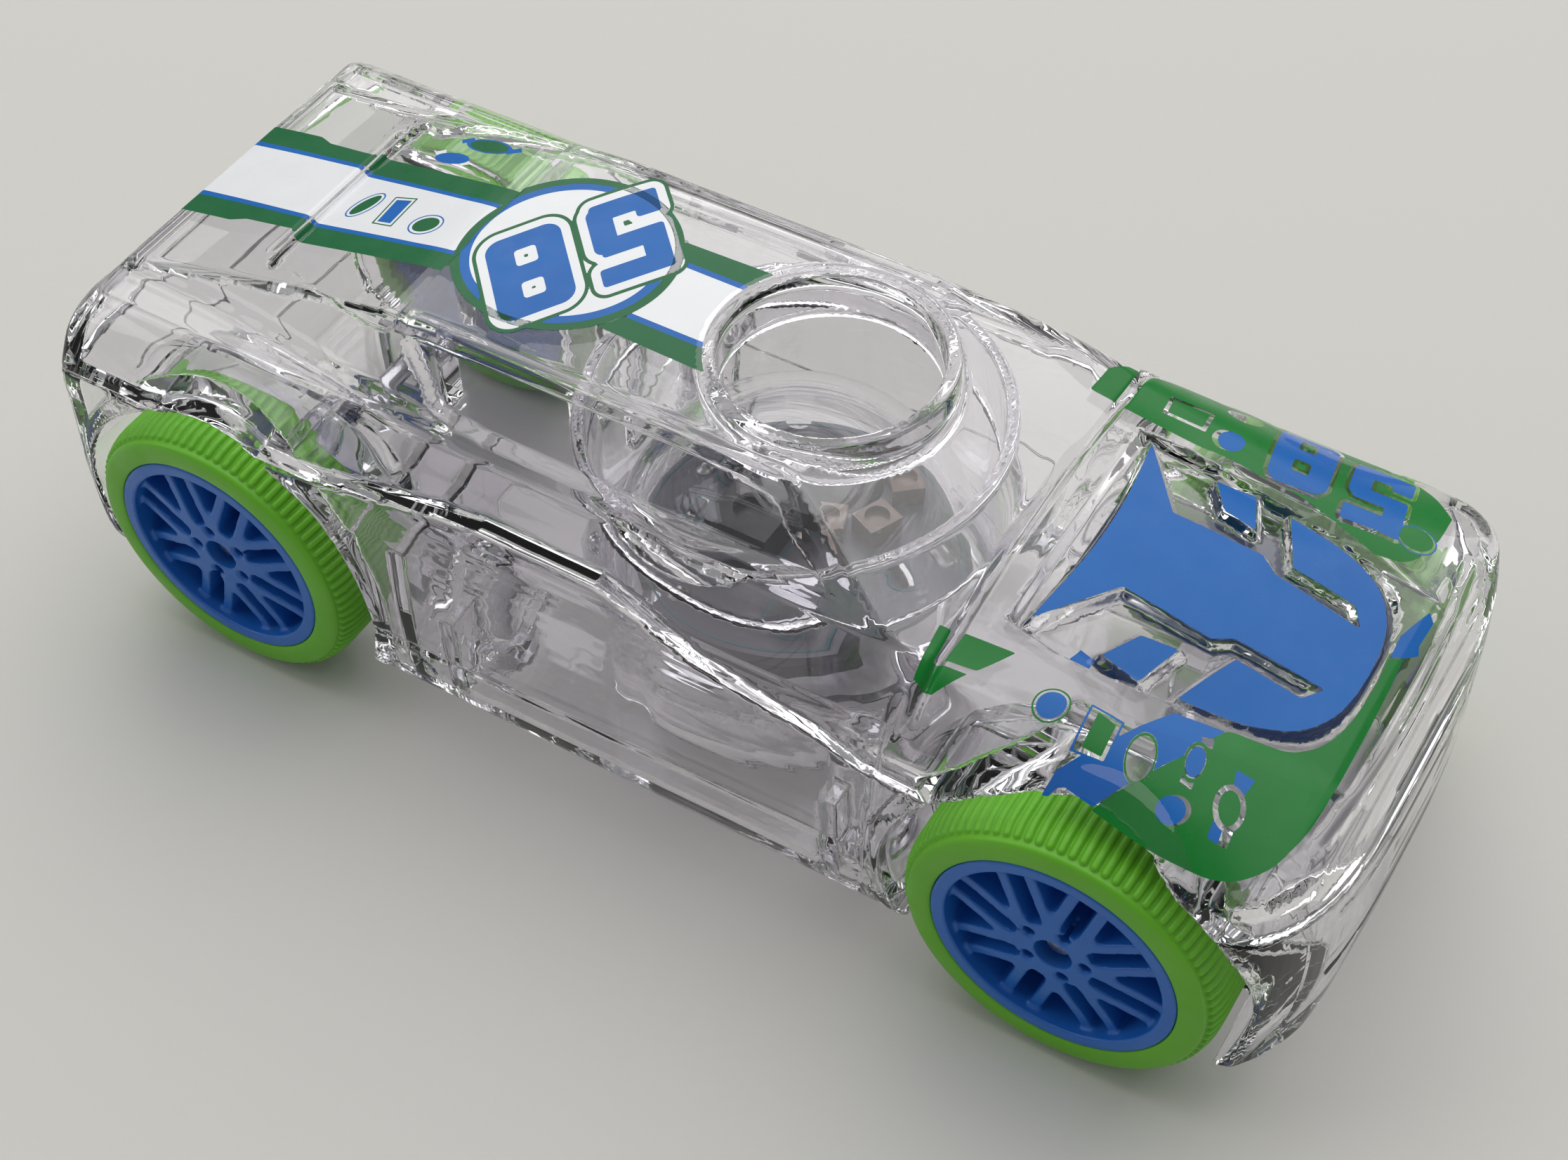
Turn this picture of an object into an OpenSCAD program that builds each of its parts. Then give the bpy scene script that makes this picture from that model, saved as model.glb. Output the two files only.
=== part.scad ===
// Clear toy race car with a light-up rolling ball
//
// A two-piece transparent racer body on four wheels. The wheels are pressed
// in pairs on two steel axles, and a hollow ball with a small circuit board
// runs in a well in the middle and touches the ground through the floor.
// Units are millimetres. +X is forward, +Y is left, +Z is up. The origin is
// on the ground, below the middle of the body.

/* [Body] */
// Half of the overall body length
half_len = 59.8; // [59:0.1:61]
// Half width at the sills
half_wide = 24; // [23.8:0.1:24.6]
// Wall thickness of the clear shells
wall = 1.8; // [1.4:0.1:2.2]
// Height of the flat underside above the ground
floor_z = 6.6; // [6:0.1:7]
// Height of the joint between the two shells at x = 0
parting_z = 27.6; // [26.8:0.1:28.2]
// Drop of that joint per millimetre towards the nose
parting_drop = 0.06; // [0:0.01:0.07]
// Radius of the curved nose seen from above
nose_r = 75; // [70:1:85]
// Radius of the curved tail seen from above
tail_r = 150; // [140:1:170]

/* [Roof and hood] */
// Radius of the round hole in the roof
hole_r = 9.15; // [8:0.05:9.6]
// Distance of the roof hole in front of the origin
hole_x = 6.1; // [5.5:0.1:6.5]
// Height of the top rim of the roof hole
hole_top = 41.7; // [41.5:0.1:42.5]
// Height of the lower rim of the roof hole
hole_low = 37; // [36:0.1:38]
// Wall of the collar round the roof hole
collar_wall = 1.25; // [1:0.05:1.6]
// Radius of the wrapped windscreen seen from above
screen_r = 24; // [23.5:0.1:24.5]
// Depth of the hood and window recesses
recess = 0.6; // [0.3:0.05:0.8]

/* [Wheels] */
// Distance between the two axles
wheelbase = 82.6; // [82:0.1:83]
// Distance of the rear axle behind the origin
rear_x = -42.8; // [-43.2:0.1:-42.4]
// Tyre radius over the tread ribs
tyre_r = 13.7; // [13.2:0.1:14]
// Radius where the tyre meets the rim
rim_r = 10.6; // [10.2:0.1:10.8]
// Distance of the outer rim face from the middle plane
rim_face = 24.4; // [24.2:0.1:24.8]
// Distance of the inner tyre face from the middle plane
tyre_in = 15.7; // [15.5:0.1:16.5]
// Number of ribs round the tread
tread_ribs = 90; // [60:2:96]
// Depth of the grooves between the ribs
rib_depth = 0.35; // [0.2:0.05:0.5]
// Number of spoke pairs
spokes = 8; // [6:1:8]
// Number of wheel nut holes
nuts = 5; // [4:1:6]
// Axle radius
axle_r = 1; // [0.8:0.05:1.2]
// Radial running clearance of each axle in its bearings
axle_gap = 0.05; // [0.02:0.01:0.1]
// Radius of the wheel arches
arch_r = 15.5; // [15.2:0.1:15.6]
// Rise of the middle of each arch above its axle
arch_up = 0.8; // [0.5:0.1:0.9]
// Distance of the middle of the rear arch in front of the rear axle
arch_fwd = 1.3; // [1.2:0.1:1.5]

/* [Ball] */
// Outer radius of the ball
ball_r = 16; // [15.6:0.1:16.2]
// Distance of the ball in front of the origin
ball_x = 2.6; // [2.2:0.1:3]
// Wall of the ball halves
ball_wall = 1.4; // [1:0.1:1.6]
// Inner radius of the well the ball runs in
well_r = 17; // [16.8:0.1:17.2]
// Height of the top face of the circuit board
pcb_top = 19.5; // [19:0.1:20]
// Circuit board radius
pcb_r = 13.5; // [13:0.1:13.6]
// Circuit board thickness
pcb_t = 1; // [0.8:0.1:1.2]

/* [Screws] */
// Height of the joint between the screw posts of the two shells
post_z = 11; // [10:0.5:12]
// Radius of the screw thread
screw_r = 1.3; // [1.1:0.05:1.35]

/* [Hidden] */
front_x = rear_x + wheelbase;
axle_z = tyre_r;
axle_len = 2 * (rim_face - 1.4);
ball_in = ball_r - ball_wall;
liner_wall = 1.2;
well_in = 15;
screw_spots = [[-18, 16], [-18, -16], [19.2, 17.3], [19.2, -17.3]];
big = 200;
tray_low = pcb_top - pcb_t - 6;
tab_r = 1.6;

$fn = 96;

// ---- helpers ----

// Extrudes an x-z outline across the car
module across(w) {
    rotate([90, 0, 0])
        linear_extrude(w, center = true)
            children();
}

// Extrudes a y-z outline along the car
module along(l) {
    rotate([90, 0, 90])
        linear_extrude(l, center = true)
            children();
}

// A cylinder along Y between two distances from the middle plane
module lying(r, y0, y1) {
    translate([0, y0, 0])
        rotate([-90, 0, 0])
            cylinder(h = y1 - y0, r = r);
}

// Its children, and their mirror image on the other side
module both_sides() {
    children();
    mirror([0, 1, 0])
        children();
}

// Its children at the front and at the rear axle
module at_axles() {
    for (x = [rear_x, front_x])
        translate([x, 0, axle_z])
            children();
}

// ---- body outlines ----

// Side view of the body below the cabin
module hull_side() {
    polygon([
        [-57.6, floor_z], [-59.1, 17], [-half_len, 25.5], [-59, 30.6], [-56.4, 35.2],
        [21, 34.9], [27.5, 34.4], [34, 33.7], [42, 32.6], [50, 31.5], [55, 30.2], [58.6, 27.2],
        [half_len, 20], [59.5, 12], [58.4, floor_z]
    ]);
}

// Cross-section of the doors and the tail, right and left
module door_section() {
    polygon([
        [-22.4, floor_z], [-23.7, 10], [-half_wide, 19], [-23.6, 27.2], [-18.1, 34.9],
        [18.1, 34.9], [23.6, 27.2], [half_wide, 19], [23.7, 10], [22.4, floor_z]
    ]);
}

// Cross-section of the front fenders, right and left
module fender_section() {
    polygon([
        [-22.4, floor_z], [-23.7, 10], [-half_wide, 19], [-23.6, 27], [-22.6, 29.2],
        [-20.4, 31.4], [-16.8, 33.2], [-12, 33.9], [12, 33.9], [16.8, 33.2],
        [20.4, 31.4], [22.6, 29.2], [23.6, 27], [half_wide, 19], [23.7, 10], [22.4, floor_z]
    ]);
}

// Side view of the cabin, from the tail edge to the foot of the windscreen
module cabin_side() {
    polygon([
        [-56.2, 30], [-56.2, 35.4], [-50.8, 36.5], [-43.6, 37.8], [-37.8, 39], [-32.8, 40],
        [-27.8, 40.8], [-18, 41.6], [-7.8, 42], [2, 42], [8, 41.6], [12.6, 40.9],
        [27.2, 34], [27.2, 30]
    ]);
}

// Cross-section of the cabin
module cabin_section() {
    polygon([
        [-18.1, 30], [-18.1, 34.9], [-12.7, 41.1], [-8, 41.8], [0, 42.1],
        [8, 41.8], [12.7, 41.1], [18.1, 34.9], [18.1, 30]
    ]);
}

// The curved plan view of nose and tail, t inside the surface
module plan_solid(t) {
    intersection() {
        union() {
            translate([half_len - nose_r, 0, 0])
                cylinder(h = 60, r = nose_r - t);
            translate([-70, -40, 0])
                cube([70 + half_len - nose_r, 80, 60]);
        }
        translate([tail_r - half_len, 0, 0])
            cylinder(h = 60, r = tail_r - t);
    }
}

// The body below the cabin, t inside its surface
module hull_solid(t) {
    intersection() {
        across(60)
            offset(delta = -t)
                hull_side();
        plan_solid(t);
        union() {
            intersection() {
                along(big)
                    offset(delta = -t)
                        door_section();
                translate([-big + 22, -40, 0])
                    cube([big, 80, 60]);
            }
            intersection() {
                along(big)
                    offset(delta = -t)
                        fender_section();
                translate([22, -40, 0])
                    cube([big, 80, 60]);
            }
        }
    }
}

// The cabin, t inside its surface
module cabin_solid(t) {
    intersection() {
        across(60)
            offset(delta = -t)
                cabin_side();
        along(big)
            offset(delta = -t)
                cabin_section();
        union() {
            translate([3, 0, 0])
                cylinder(h = 60, r = screen_r - t);
            translate([-60, -40, 0])
                cube([63, 80, 60]);
        }
        plan_solid(t);
    }
}

// Everything inside the outer surface; the inner volume reaches through the roof joint
module body_solid(t) {
    hull_solid(t);
    cabin_solid(t);
    if (t > 0)
        roof_well(t);
}

// Opens the cabin to the space below it inside the walls
module roof_well(t) {
    intersection() {
        translate([-52, -16 + t, 30])
            cube([70, 32 - 2 * t, 6.2]);
        along(big)
            offset(delta = -t)
                door_section();
        translate([-60, -40, 0])
            cube([78, 80, 34]);
    }
}

// ---- surface details ----

// Sunk side window panel, laid on the sloping side of the cabin
module window_cut() {
    translate([0, 18.1, 34.9])
        rotate([-46.5, 0, 0])
            translate([0, 0, -recess])
                linear_extrude(4)
                    polygon([[-25, 7], [-14, 7.1], [8, 6.8], [15, 0.9], [-2, 0.7], [-20, 1.2]]);
}

// Sunk rear window between the roof and the cross seam of the tail
module rear_window_cut() {
    translate([0, 0, 37.4])
        rotate([0, -10.8, 0])
            translate([-43.2, -13.6, -7.9 - recess])
                linear_extrude(8)
                    polygon([
                        [0, 5], [3, 3.4], [8, 1.6], [14, 0.2], [15.4, 0.2],
                        [15.4, 27], [14, 27], [8, 25.6], [3, 23.8], [0, 22.2]
                    ]);
}

// Groove of the cross seam on the tail
module seam_cut() {
    translate([-43.6, -9, 37.4])
        cube([0.35, 18, 4]);
}

// Outline of the sunk hood area
module hood_area() {
    polygon([
        [27.6, -11], [35, -11], [46, -10.6], [50.4, -9], [53, -5.6], [53.8, 0],
        [53, 5.6], [50.4, 9], [46, 10.6], [35, 11], [27.6, 11]
    ]);
}

// Outline of the raised crown-shaped panel on the hood
module crown_area() {
    polygon([
        [29.4, -9.8], [32.6, -2.2], [32.6, 2.2], [29.4, 9.8], [35, 5.6], [41.8, 6.2],
        [41.8, 9.6], [46, 9.4], [49.6, 8], [52, 4.8], [52.8, 0], [52, -4.8],
        [49.6, -8], [46, -9.4], [41.8, -9.6], [41.8, -6.2], [35, -5.6]
    ]);
}

// One lightning-shaped vent beside the crown
module vent_area() {
    polygon([
        [34.6, -10.2], [36.2, -5.6], [41, -5.2], [41.8, -3.6], [43.4, -2.8], [51, -4],
        [49.8, -5.6], [44.8, -4.8], [42.4, -9.9], [39.4, -10], [40.2, -6.8], [36.8, -6.8]
    ]);
}

// Lays a hood outline on the sloping hood and cuts it to a depth
module hood_cut(depth) {
    translate([27, 0, 33.6 - depth])
        rotate([0, 4.9, 0])
            translate([-27, 0, 0])
                linear_extrude(4)
                    children();
}

module hood_details() {
    hood_cut(recess)
        difference() {
            hood_area();
            crown_area();
        }
    hood_cut(recess * 1.6)
        both_sides()
            vent_area();
}

// Grooves for the door joints
module door_cut() {
    for (x = [-20.5, 22.2])
        translate([x, 20, 9])
            cube([0.35, 6, 18]);
}

// Upright slots in the nose, low down
module grille_cut() {
    for (y = [-9:3:9])
        translate([54, y - 0.8, 11])
            cube([8, 1.6, 4.5]);
}

// ---- inner walls ----

// A drum round each wheel, a little off the axles as the arches are
module arch_drums(r, y0) {
    for (x = [rear_x + arch_fwd, front_x])
        translate([x, 0, axle_z + arch_up])
            both_sides()
                lying(r, y0, 40);
}

// Blocks that carry the axles
module axle_blocks() {
    for (x = [rear_x, front_x])
        for (y = [-6, 6])
            translate([x - 3.5, y - 1.5, floor_z])
                cube([7, 3, axle_z + 3.6 - floor_z]);
}

// Round wall of the ball well
module well_wall() {
    translate([ball_x, 0, floor_z])
        cylinder(h = 33.4 - floor_z, r = well_r + liner_wall);
}

// Space the ball needs, with the narrower round opening in the floor
module ball_air() {
    translate([ball_x, 0, floor_z + wall])
        cylinder(h = 34 - floor_z - wall, r = well_r);
    translate([ball_x, 0, ball_r])
        sphere(r = ball_r + 0.5);
}

// Collar round the roof hole
module collar() {
    translate([hole_x, 0, hole_low])
        cylinder(h = hole_top - hole_low, r = hole_r + collar_wall);
}

// Both clear shells as one piece
module clear_body() {
    difference() {
        union() {
            difference() {
                body_solid(0);
                body_solid(wall);
            }
            intersection() {
                body_solid(0);
                union() {
                    arch_drums(arch_r + liner_wall, well_in - liner_wall);
                    well_wall();
                    axle_blocks();
                }
            }
            collar();
        }
        arch_drums(arch_r, well_in);
        ball_air();
        translate([hole_x, 0, 30])
            cylinder(h = 20, r = hole_r);
        at_axles()
            lying(axle_r + axle_gap, -30, 30);
        both_sides()
            window_cut();
        rear_window_cut();
        seam_cut();
        hood_details();
        both_sides()
            door_cut();
        grille_cut();
    }
}

// Space above (side = 1) or below (side = -1) the joint between the shells
module half_space(side) {
    translate([0, 0, parting_z])
        rotate([0, atan(parting_drop), 0])
            translate([-big / 2, -50, side > 0 ? 0 : -100])
                cube([big, 100, 100]);
}

module body_shell() {
    color([0.93, 0.93, 0.96, 0.35])
        difference() {
            union() {
                intersection() {
                    clear_body();
                    half_space(1);
                }
                intersection() {
                    body_solid(0.4);
                    for (p = screw_spots)
                        translate([p[0], p[1], post_z])
                            cylinder(h = 30, r = 2.6);
                }
            }
            for (p = screw_spots)
                translate([p[0], p[1], post_z - 1])
                    cylinder(h = 12, r = screw_r + 0.1);
        }
}

module chassis() {
    color([0.9, 0.9, 0.94, 0.35])
        difference() {
            union() {
                intersection() {
                    clear_body();
                    half_space(-1);
                }
                for (p = screw_spots)
                    translate([p[0], p[1], floor_z])
                        cylinder(h = post_z - floor_z, r = 3.4);
            }
            for (p = screw_spots)
                translate([p[0], p[1], floor_z - 1]) {
                    cylinder(h = 20, r = screw_r + 0.1);
                    cylinder(h = 3, r = 2.5);
                }
        }
}

// Self-tapping screw: pan head, shank and rounds of thread
module screw() {
    cylinder(h = 1.4, r = 2.3);
    cylinder(h = 12, r = screw_r - 0.3);
    for (i = [0:12])
        translate([0, 0, 2.4 + i * 0.7])
            cylinder(h = 0.35, r1 = screw_r, r2 = screw_r - 0.3);
    translate([0, 0, 12])
        cylinder(h = 1, r1 = screw_r - 0.3, r2 = 0.3);
}

module case_screws() {
    color([0.75, 0.76, 0.78])
        for (p = screw_spots)
            translate([p[0], p[1], floor_z + 0.6])
                difference() {
                    screw();
                    for (a = [0, 90])
                        rotate([0, 0, a])
                            translate([-1.3, -0.25, -1])
                                cube([2.6, 0.5, 1.7]);
                }
}

// ---- wheels ----

module axle_rod(x) {
    color([0.7, 0.71, 0.73])
        translate([x, 0, axle_z])
            lying(axle_r, -axle_len / 2, axle_len / 2);
}

module front_axle() {
    axle_rod(front_x);
}

module rear_axle() {
    axle_rod(rear_x);
}

// Spoke pattern: pairs of parallel bars that meet the next pair half way out
module spoke_area() {
    circle(r = 3.4);
    for (i = [0:spokes - 1])
        rotate([0, 0, i * 360 / spokes])
            for (s = [-1, 1])
                translate([2, s * 1.27 - 0.48])
                    square([rim_r - 2.6, 0.96]);
}

// Rim with its outer face at z = 0, built towards -z
module rim_body() {
    wide = rim_face - tyre_in - 0.8;
    difference() {
        union() {
            difference() {
                translate([0, 0, -wide])
                    cylinder(h = wide, r = rim_r);
                translate([0, 0, -4])
                    cylinder(h = 10, r = rim_r - 1.25);
                translate([0, 0, -wide - 1])
                    cylinder(h = wide - 4.2, r = rim_r - 1.25);
            }
            translate([0, 0, -4])
                linear_extrude(3.6)
                    intersection() {
                        spoke_area();
                        circle(r = rim_r - 0.6);
                    }
            translate([0, 0, -wide])
                cylinder(h = wide - 1, r = 2.6);
        }
        translate([0, 0, -20])
            cylinder(h = 40, r = axle_r);
        translate([0, 0, -3.2])
            cylinder(h = 10, r = 1.6);
        for (i = [0:nuts - 1])
            rotate([0, 0, i * 360 / nuts])
                translate([2.7, 0, -2.4])
                    cylinder(h = 4, r = 0.52);
    }
}

module place_rim(x, side, turn) {
    color([0.16, 0.43, 0.75])
        translate([x, side * rim_face, axle_z])
            rotate([side > 0 ? -90 : 90, 0, 0])
                rotate([0, 0, turn])
                    rim_body();
}

module rim_front_right() {
    place_rim(front_x, -1, 74);
}

module rim_front_left() {
    place_rim(front_x, 1, 20);
}

module rim_rear_right() {
    place_rim(rear_x, -1, 250);
}

module rim_rear_left() {
    place_rim(rear_x, 1, 130);
}

// Outline of the ribbed tread seen along the axle
module tread_area() {
    step = 360 / tread_ribs;
    polygon([
        for (i = [0:tread_ribs - 1])
            for (k = [[0, 0], [0.3, rib_depth], [0.7, rib_depth], [1, 0]])
                let (a = (i + k[0] * 0.62) * step, r = tyre_r - rib_depth + k[1])
                    [r * cos(a), r * sin(a)]
    ]);
}

// Tyre with its outer face towards +z
module tyre_body() {
    wide = rim_face - tyre_in;
    groove_r = tyre_r - rib_depth;
    difference() {
        union() {
            rotate_extrude()
                polygon([
                    [rim_r - 0.8, -wide], [groove_r - 0.9, -wide], [groove_r, -wide + 0.8],
                    [groove_r, -2.5], [groove_r - 0.1, -1.7], [groove_r - 0.5, -0.9],
                    [groove_r - 1.2, -0.35], [rim_r + 0.5, 0.1], [rim_r - 0.8, 0]
                ]);
            translate([0, 0, -wide + 0.9])
                linear_extrude(wide - 2.5)
                    tread_area();
        }
        translate([0, 0, -20])
            cylinder(h = 40, r = rim_r);
    }
}

module place_tyre(x, side) {
    color([0.38, 0.72, 0.12])
        translate([x, side * rim_face, axle_z])
            rotate([side > 0 ? -90 : 90, 0, 0])
                tyre_body();
}

module tyre_front_right() {
    place_tyre(front_x, -1);
}

module tyre_front_left() {
    place_tyre(front_x, 1);
}

module tyre_rear_right() {
    place_tyre(rear_x, -1);
}

module tyre_rear_left() {
    place_tyre(rear_x, 1);
}

// ---- ball ----

// Hollow sphere round the ball centre
module ball_skin() {
    difference() {
        sphere(r = ball_r);
        sphere(r = ball_in);
    }
}

module at_ball() {
    translate([ball_x, 0, ball_r])
        children();
}

module ball_top() {
    color([0.92, 0.93, 0.96, 0.35])
        at_ball()
            intersection() {
                ball_skin();
                translate([-20, -20, 0])
                    cube([40, 40, 20]);
            }
}

module ball_base() {
    post_top = pcb_top - pcb_t - ball_r;
    color([0.92, 0.93, 0.96, 0.35])
        at_ball() {
            intersection() {
                ball_skin();
                translate([-20, -20, -20])
                    cube([40, 40, 20]);
            }
            for (a = [60, 180, 300])
                rotate([0, 0, a])
                    intersection() {
                        translate([12.1, 0, -12])
                            cylinder(h = 12 + post_top, r = 1.1);
                        sphere(r = ball_in + 0.4);
                    }
            locating_tabs();
        }
}

// Two round tabs that reach up inside the upper half and centre it
module locating_tabs() {
    intersection() {
        both_sides()
            lying(tab_r, ball_in - 1.2, ball_in + 0.2);
        union() {
            sphere(r = ball_in - 0.05);
            translate([-big / 2, -big / 2, -big])
                cube(big);
        }
    }
}

module ball_pcb() {
    color([0.55, 0.56, 0.58])
        translate([ball_x, 0, pcb_top - pcb_t])
            difference() {
                cylinder(h = pcb_t, r = pcb_r);
                for (a = [0, 120, 240])
                    rotate([0, 0, a])
                        translate([pcb_r, 0, -1])
                            cylinder(h = 4, r = 1.2);
            }
}

// Cell centres under the board
cell_spots = [for (a = [90, 210, 330]) [5 * cos(a), 5 * sin(a)]];

module battery_tray() {
    color([0.08, 0.08, 0.09])
        translate([ball_x, 0, tray_low])
            difference() {
                cylinder(h = 6, r = 10.2);
                for (c = cell_spots)
                    translate([c[0], c[1], 1.2])
                        cylinder(h = 8, r = 4.1);
                translate([0, 0, 4.7])
                    cylinder(h = 2, r = 3);
            }
}

module coin_cells() {
    color([0.78, 0.78, 0.8])
        for (c = cell_spots)
            translate([ball_x + c[0], c[1], tray_low + 1.2]) {
                cylinder(h = 2.9, r = 3.95);
                cylinder(h = 3.6, r = 3.1);
            }
}

module battery_clip() {
    color([0.8, 0.76, 0.6])
        translate([ball_x, 0, tray_low + 4.8])
            intersection() {
                for (a = [90, 210, 330])
                    rotate([0, 0, a])
                        translate([0, -1.5, 0])
                            cube([7.6, 3, 0.4]);
                cylinder(h = 1, r = 7.4);
            }
}

module motion_spring() {
    color([0.82, 0.82, 0.84])
        translate([ball_x - 7.6, 3.6, pcb_top])
            for (i = [0:8])
                translate([0, 0, 0.3 + i * 0.5])
                    rotate_extrude()
                        translate([1.3, 0])
                            circle(r = 0.3, $fn = 16);
}

module motion_pin() {
    color([0.85, 0.82, 0.7])
        translate([ball_x - 7.6, 3.6, pcb_top])
            cylinder(h = 5.2, r = 0.4, $fn = 24);
}

module chip_blob() {
    color([0.03, 0.03, 0.04])
        translate([ball_x + 0.9, 6.4, pcb_top])
            intersection() {
                translate([0, 0, -3.4])
                    sphere(r = 5);
                cylinder(h = 3, r = 3.6);
            }
}

module switch_block() {
    color([0.05, 0.05, 0.06])
        translate([ball_x - 2.6, -2.4, pcb_top])
            difference() {
                translate([-3, -3, 0])
                    cube([6, 6, 3.4]);
                translate([0, 0, 2.4])
                    cylinder(h = 2, r = 1.7);
            }
}

// Small square lamp body with a round lens well, facing up
module led_body() {
    difference() {
        translate([-1.6, -1.4, 0])
            cube([3.2, 2.8, 1.9]);
        translate([0, 0, 1.3])
            cylinder(h = 2, r = 1.1);
    }
}

module led_red() {
    color([0.85, 0.62, 0.35])
        translate([ball_x + 2.4, 0.9, pcb_top])
            rotate([0, 0, 20])
                led_body();
}

module led_green() {
    color([0.85, 0.65, 0.38])
        translate([ball_x + 6.1, 2.9, pcb_top])
            rotate([0, 0, 65])
                led_body();
}

module led_blue() {
    color([0.85, 0.65, 0.38])
        translate([ball_x + 6, 8, pcb_top])
            rotate([0, 0, 130])
                led_body();
}

module chip_resistors() {
    color([0.12, 0.12, 0.13])
        for (p = [[8.6, 0.4, 30], [-3.4, 8.8, 60], [3.6, -5, 0], [-8.4, -2.2, 90]])
            translate([ball_x + p[0], p[1], pcb_top])
                rotate([0, 0, p[2]])
                    translate([-0.8, -0.4, 0])
                        cube([1.6, 0.8, 0.5]);
}

module capacitor() {
    color([0.72, 0.6, 0.42])
        translate([ball_x + 4.6, -7.6, pcb_top])
            cylinder(h = 2.4, r = 2.2);
}

body_shell();
chassis();
case_screws();
front_axle();
rear_axle();
rim_front_right();
rim_front_left();
rim_rear_right();
rim_rear_left();
tyre_front_right();
tyre_front_left();
tyre_rear_right();
tyre_rear_left();
ball_top();
ball_base();
ball_pcb();
battery_tray();
coin_cells();
battery_clip();
motion_spring();
motion_pin();
chip_blob();
switch_block();
led_red();
led_green();
led_blue();
chip_resistors();
capacitor();
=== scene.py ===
import math

import bmesh
import bpy
import numpy as np
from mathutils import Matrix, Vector


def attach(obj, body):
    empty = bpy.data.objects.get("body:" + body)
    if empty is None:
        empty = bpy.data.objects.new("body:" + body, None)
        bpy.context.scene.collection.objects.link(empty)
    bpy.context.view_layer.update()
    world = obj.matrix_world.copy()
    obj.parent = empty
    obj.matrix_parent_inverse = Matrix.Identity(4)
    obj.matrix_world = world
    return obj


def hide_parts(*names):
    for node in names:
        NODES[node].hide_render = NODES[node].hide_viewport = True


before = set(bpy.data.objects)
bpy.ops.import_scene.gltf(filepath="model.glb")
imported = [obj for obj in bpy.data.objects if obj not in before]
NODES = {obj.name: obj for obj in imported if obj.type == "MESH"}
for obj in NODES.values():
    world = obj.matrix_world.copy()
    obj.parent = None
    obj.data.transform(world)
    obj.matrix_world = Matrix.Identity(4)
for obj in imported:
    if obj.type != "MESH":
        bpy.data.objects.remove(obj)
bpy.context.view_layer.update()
MM = 0.001

# ---------------------------------------------------------------- sizes, mm
REAR_X, FRONT_X, AXLE_Z = -42.8, 39.8, 13.7
TYRE_R, RIM_R, RIM_FACE = 13.7, 10.6, 24.4
AXLE_R = 1.0
BALL_X, BALL_R, BALL_WALL, WELL_R = 2.6, 16.0, 1.4, 17.0
HOLE_X, HOLE_R, HOLE_LOW, HOLE_TOP = 6.1, 9.15, 37.0, 41.75
FLOOR_Z, WALL = 6.6, 1.8
ARCH_R, ARCH_UP, ARCH_FWD = 15.5, 0.8, 1.3
PCB_TOP = 19.5
SCREWS = [(-18, 16), (19.2, 17.3)]
SILL_OVALS = [(-22, 10.6), (21, 11.2)]


# ---------------------------------------------------------------- fields
def spline(points, steps=5):
    """Outline through the points; a point with a third value stays a corner."""
    n = len(points)
    out = []
    for i in range(n):
        a, b = points[i], points[(i + 1) % n]
        p0 = points[i - 1] if len(a) == 2 else a
        p3 = points[(i + 2) % n] if len(b) == 2 else b
        out.append(a[:2])
        if len(a) == 3 and len(b) == 3:
            continue
        for k in range(1, steps):
            t = k / steps
            out.append(
                tuple(
                    0.5 * (2 * a[c] + (b[c] - p0[c]) * t + (2 * p0[c] - 5 * a[c] + 4 * b[c] - p3[c]) * t**2
                           + (3 * a[c] - p0[c] - 3 * b[c] + p3[c]) * t**3)
                    for c in (0, 1)
                )
            )
    return out


def rounded(points, r=0.8):
    """Outline with its corners cut by short curves."""
    out = []
    n = len(points)
    for i in range(n):
        p, a, b = np.array(points[i]), np.array(points[i - 1]), np.array(points[(i + 1) % n])
        before, after = a - p, b - p
        la, lb = np.hypot(*before), np.hypot(*after)
        if before @ after > -0.94 * la * lb:
            a = p + before * min(r / la, 0.45)
            b = p + after * min(r / lb, 0.45)
            out += [tuple(a * (1 - t) ** 2 + p * 2 * t * (1 - t) + b * t * t) for t in (0, 0.3, 0.7, 1)]
        else:
            out.append(tuple(p))
    return out


def area(u, v, points):
    """Signed distance to an outline, negative inside."""
    shape = np.broadcast(u, v).shape
    best = np.full(shape, 1e9, np.float32)
    inside = np.zeros(shape, bool)
    for i, (ax, ay) in enumerate(points):
        bx, by = points[(i + 1) % len(points)]
        ex, ey = bx - ax, by - ay
        t = np.clip(((u - ax) * ex + (v - ay) * ey) / (ex * ex + ey * ey + 1e-12), 0, 1)
        best = np.minimum(best, (u - ax - ex * t) ** 2 + (v - ay - ey * t) ** 2)
        if ey:
            inside ^= ((ay > v) != (by > v)) & (u < ex * (v - ay) / ey + ax)
    return np.where(inside, -np.sqrt(best), np.sqrt(best))


def both(a, b, r=0.4):
    """Overlap of two solids with an edge rounded to r."""
    return np.minimum(-r, np.maximum(a, b)) + np.hypot(np.maximum(r + a, 0), np.maximum(r + b, 0))


def either(a, b, r=0.4):
    """Union of two solids with a fillet r."""
    return np.maximum(r, np.minimum(a, b)) - np.hypot(np.maximum(r - a, 0), np.maximum(r - b, 0))


def ramp(v, lo, hi):
    t = np.clip((v - lo) / (hi - lo), 0, 1)
    return t * t * (3 - 2 * t)


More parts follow.
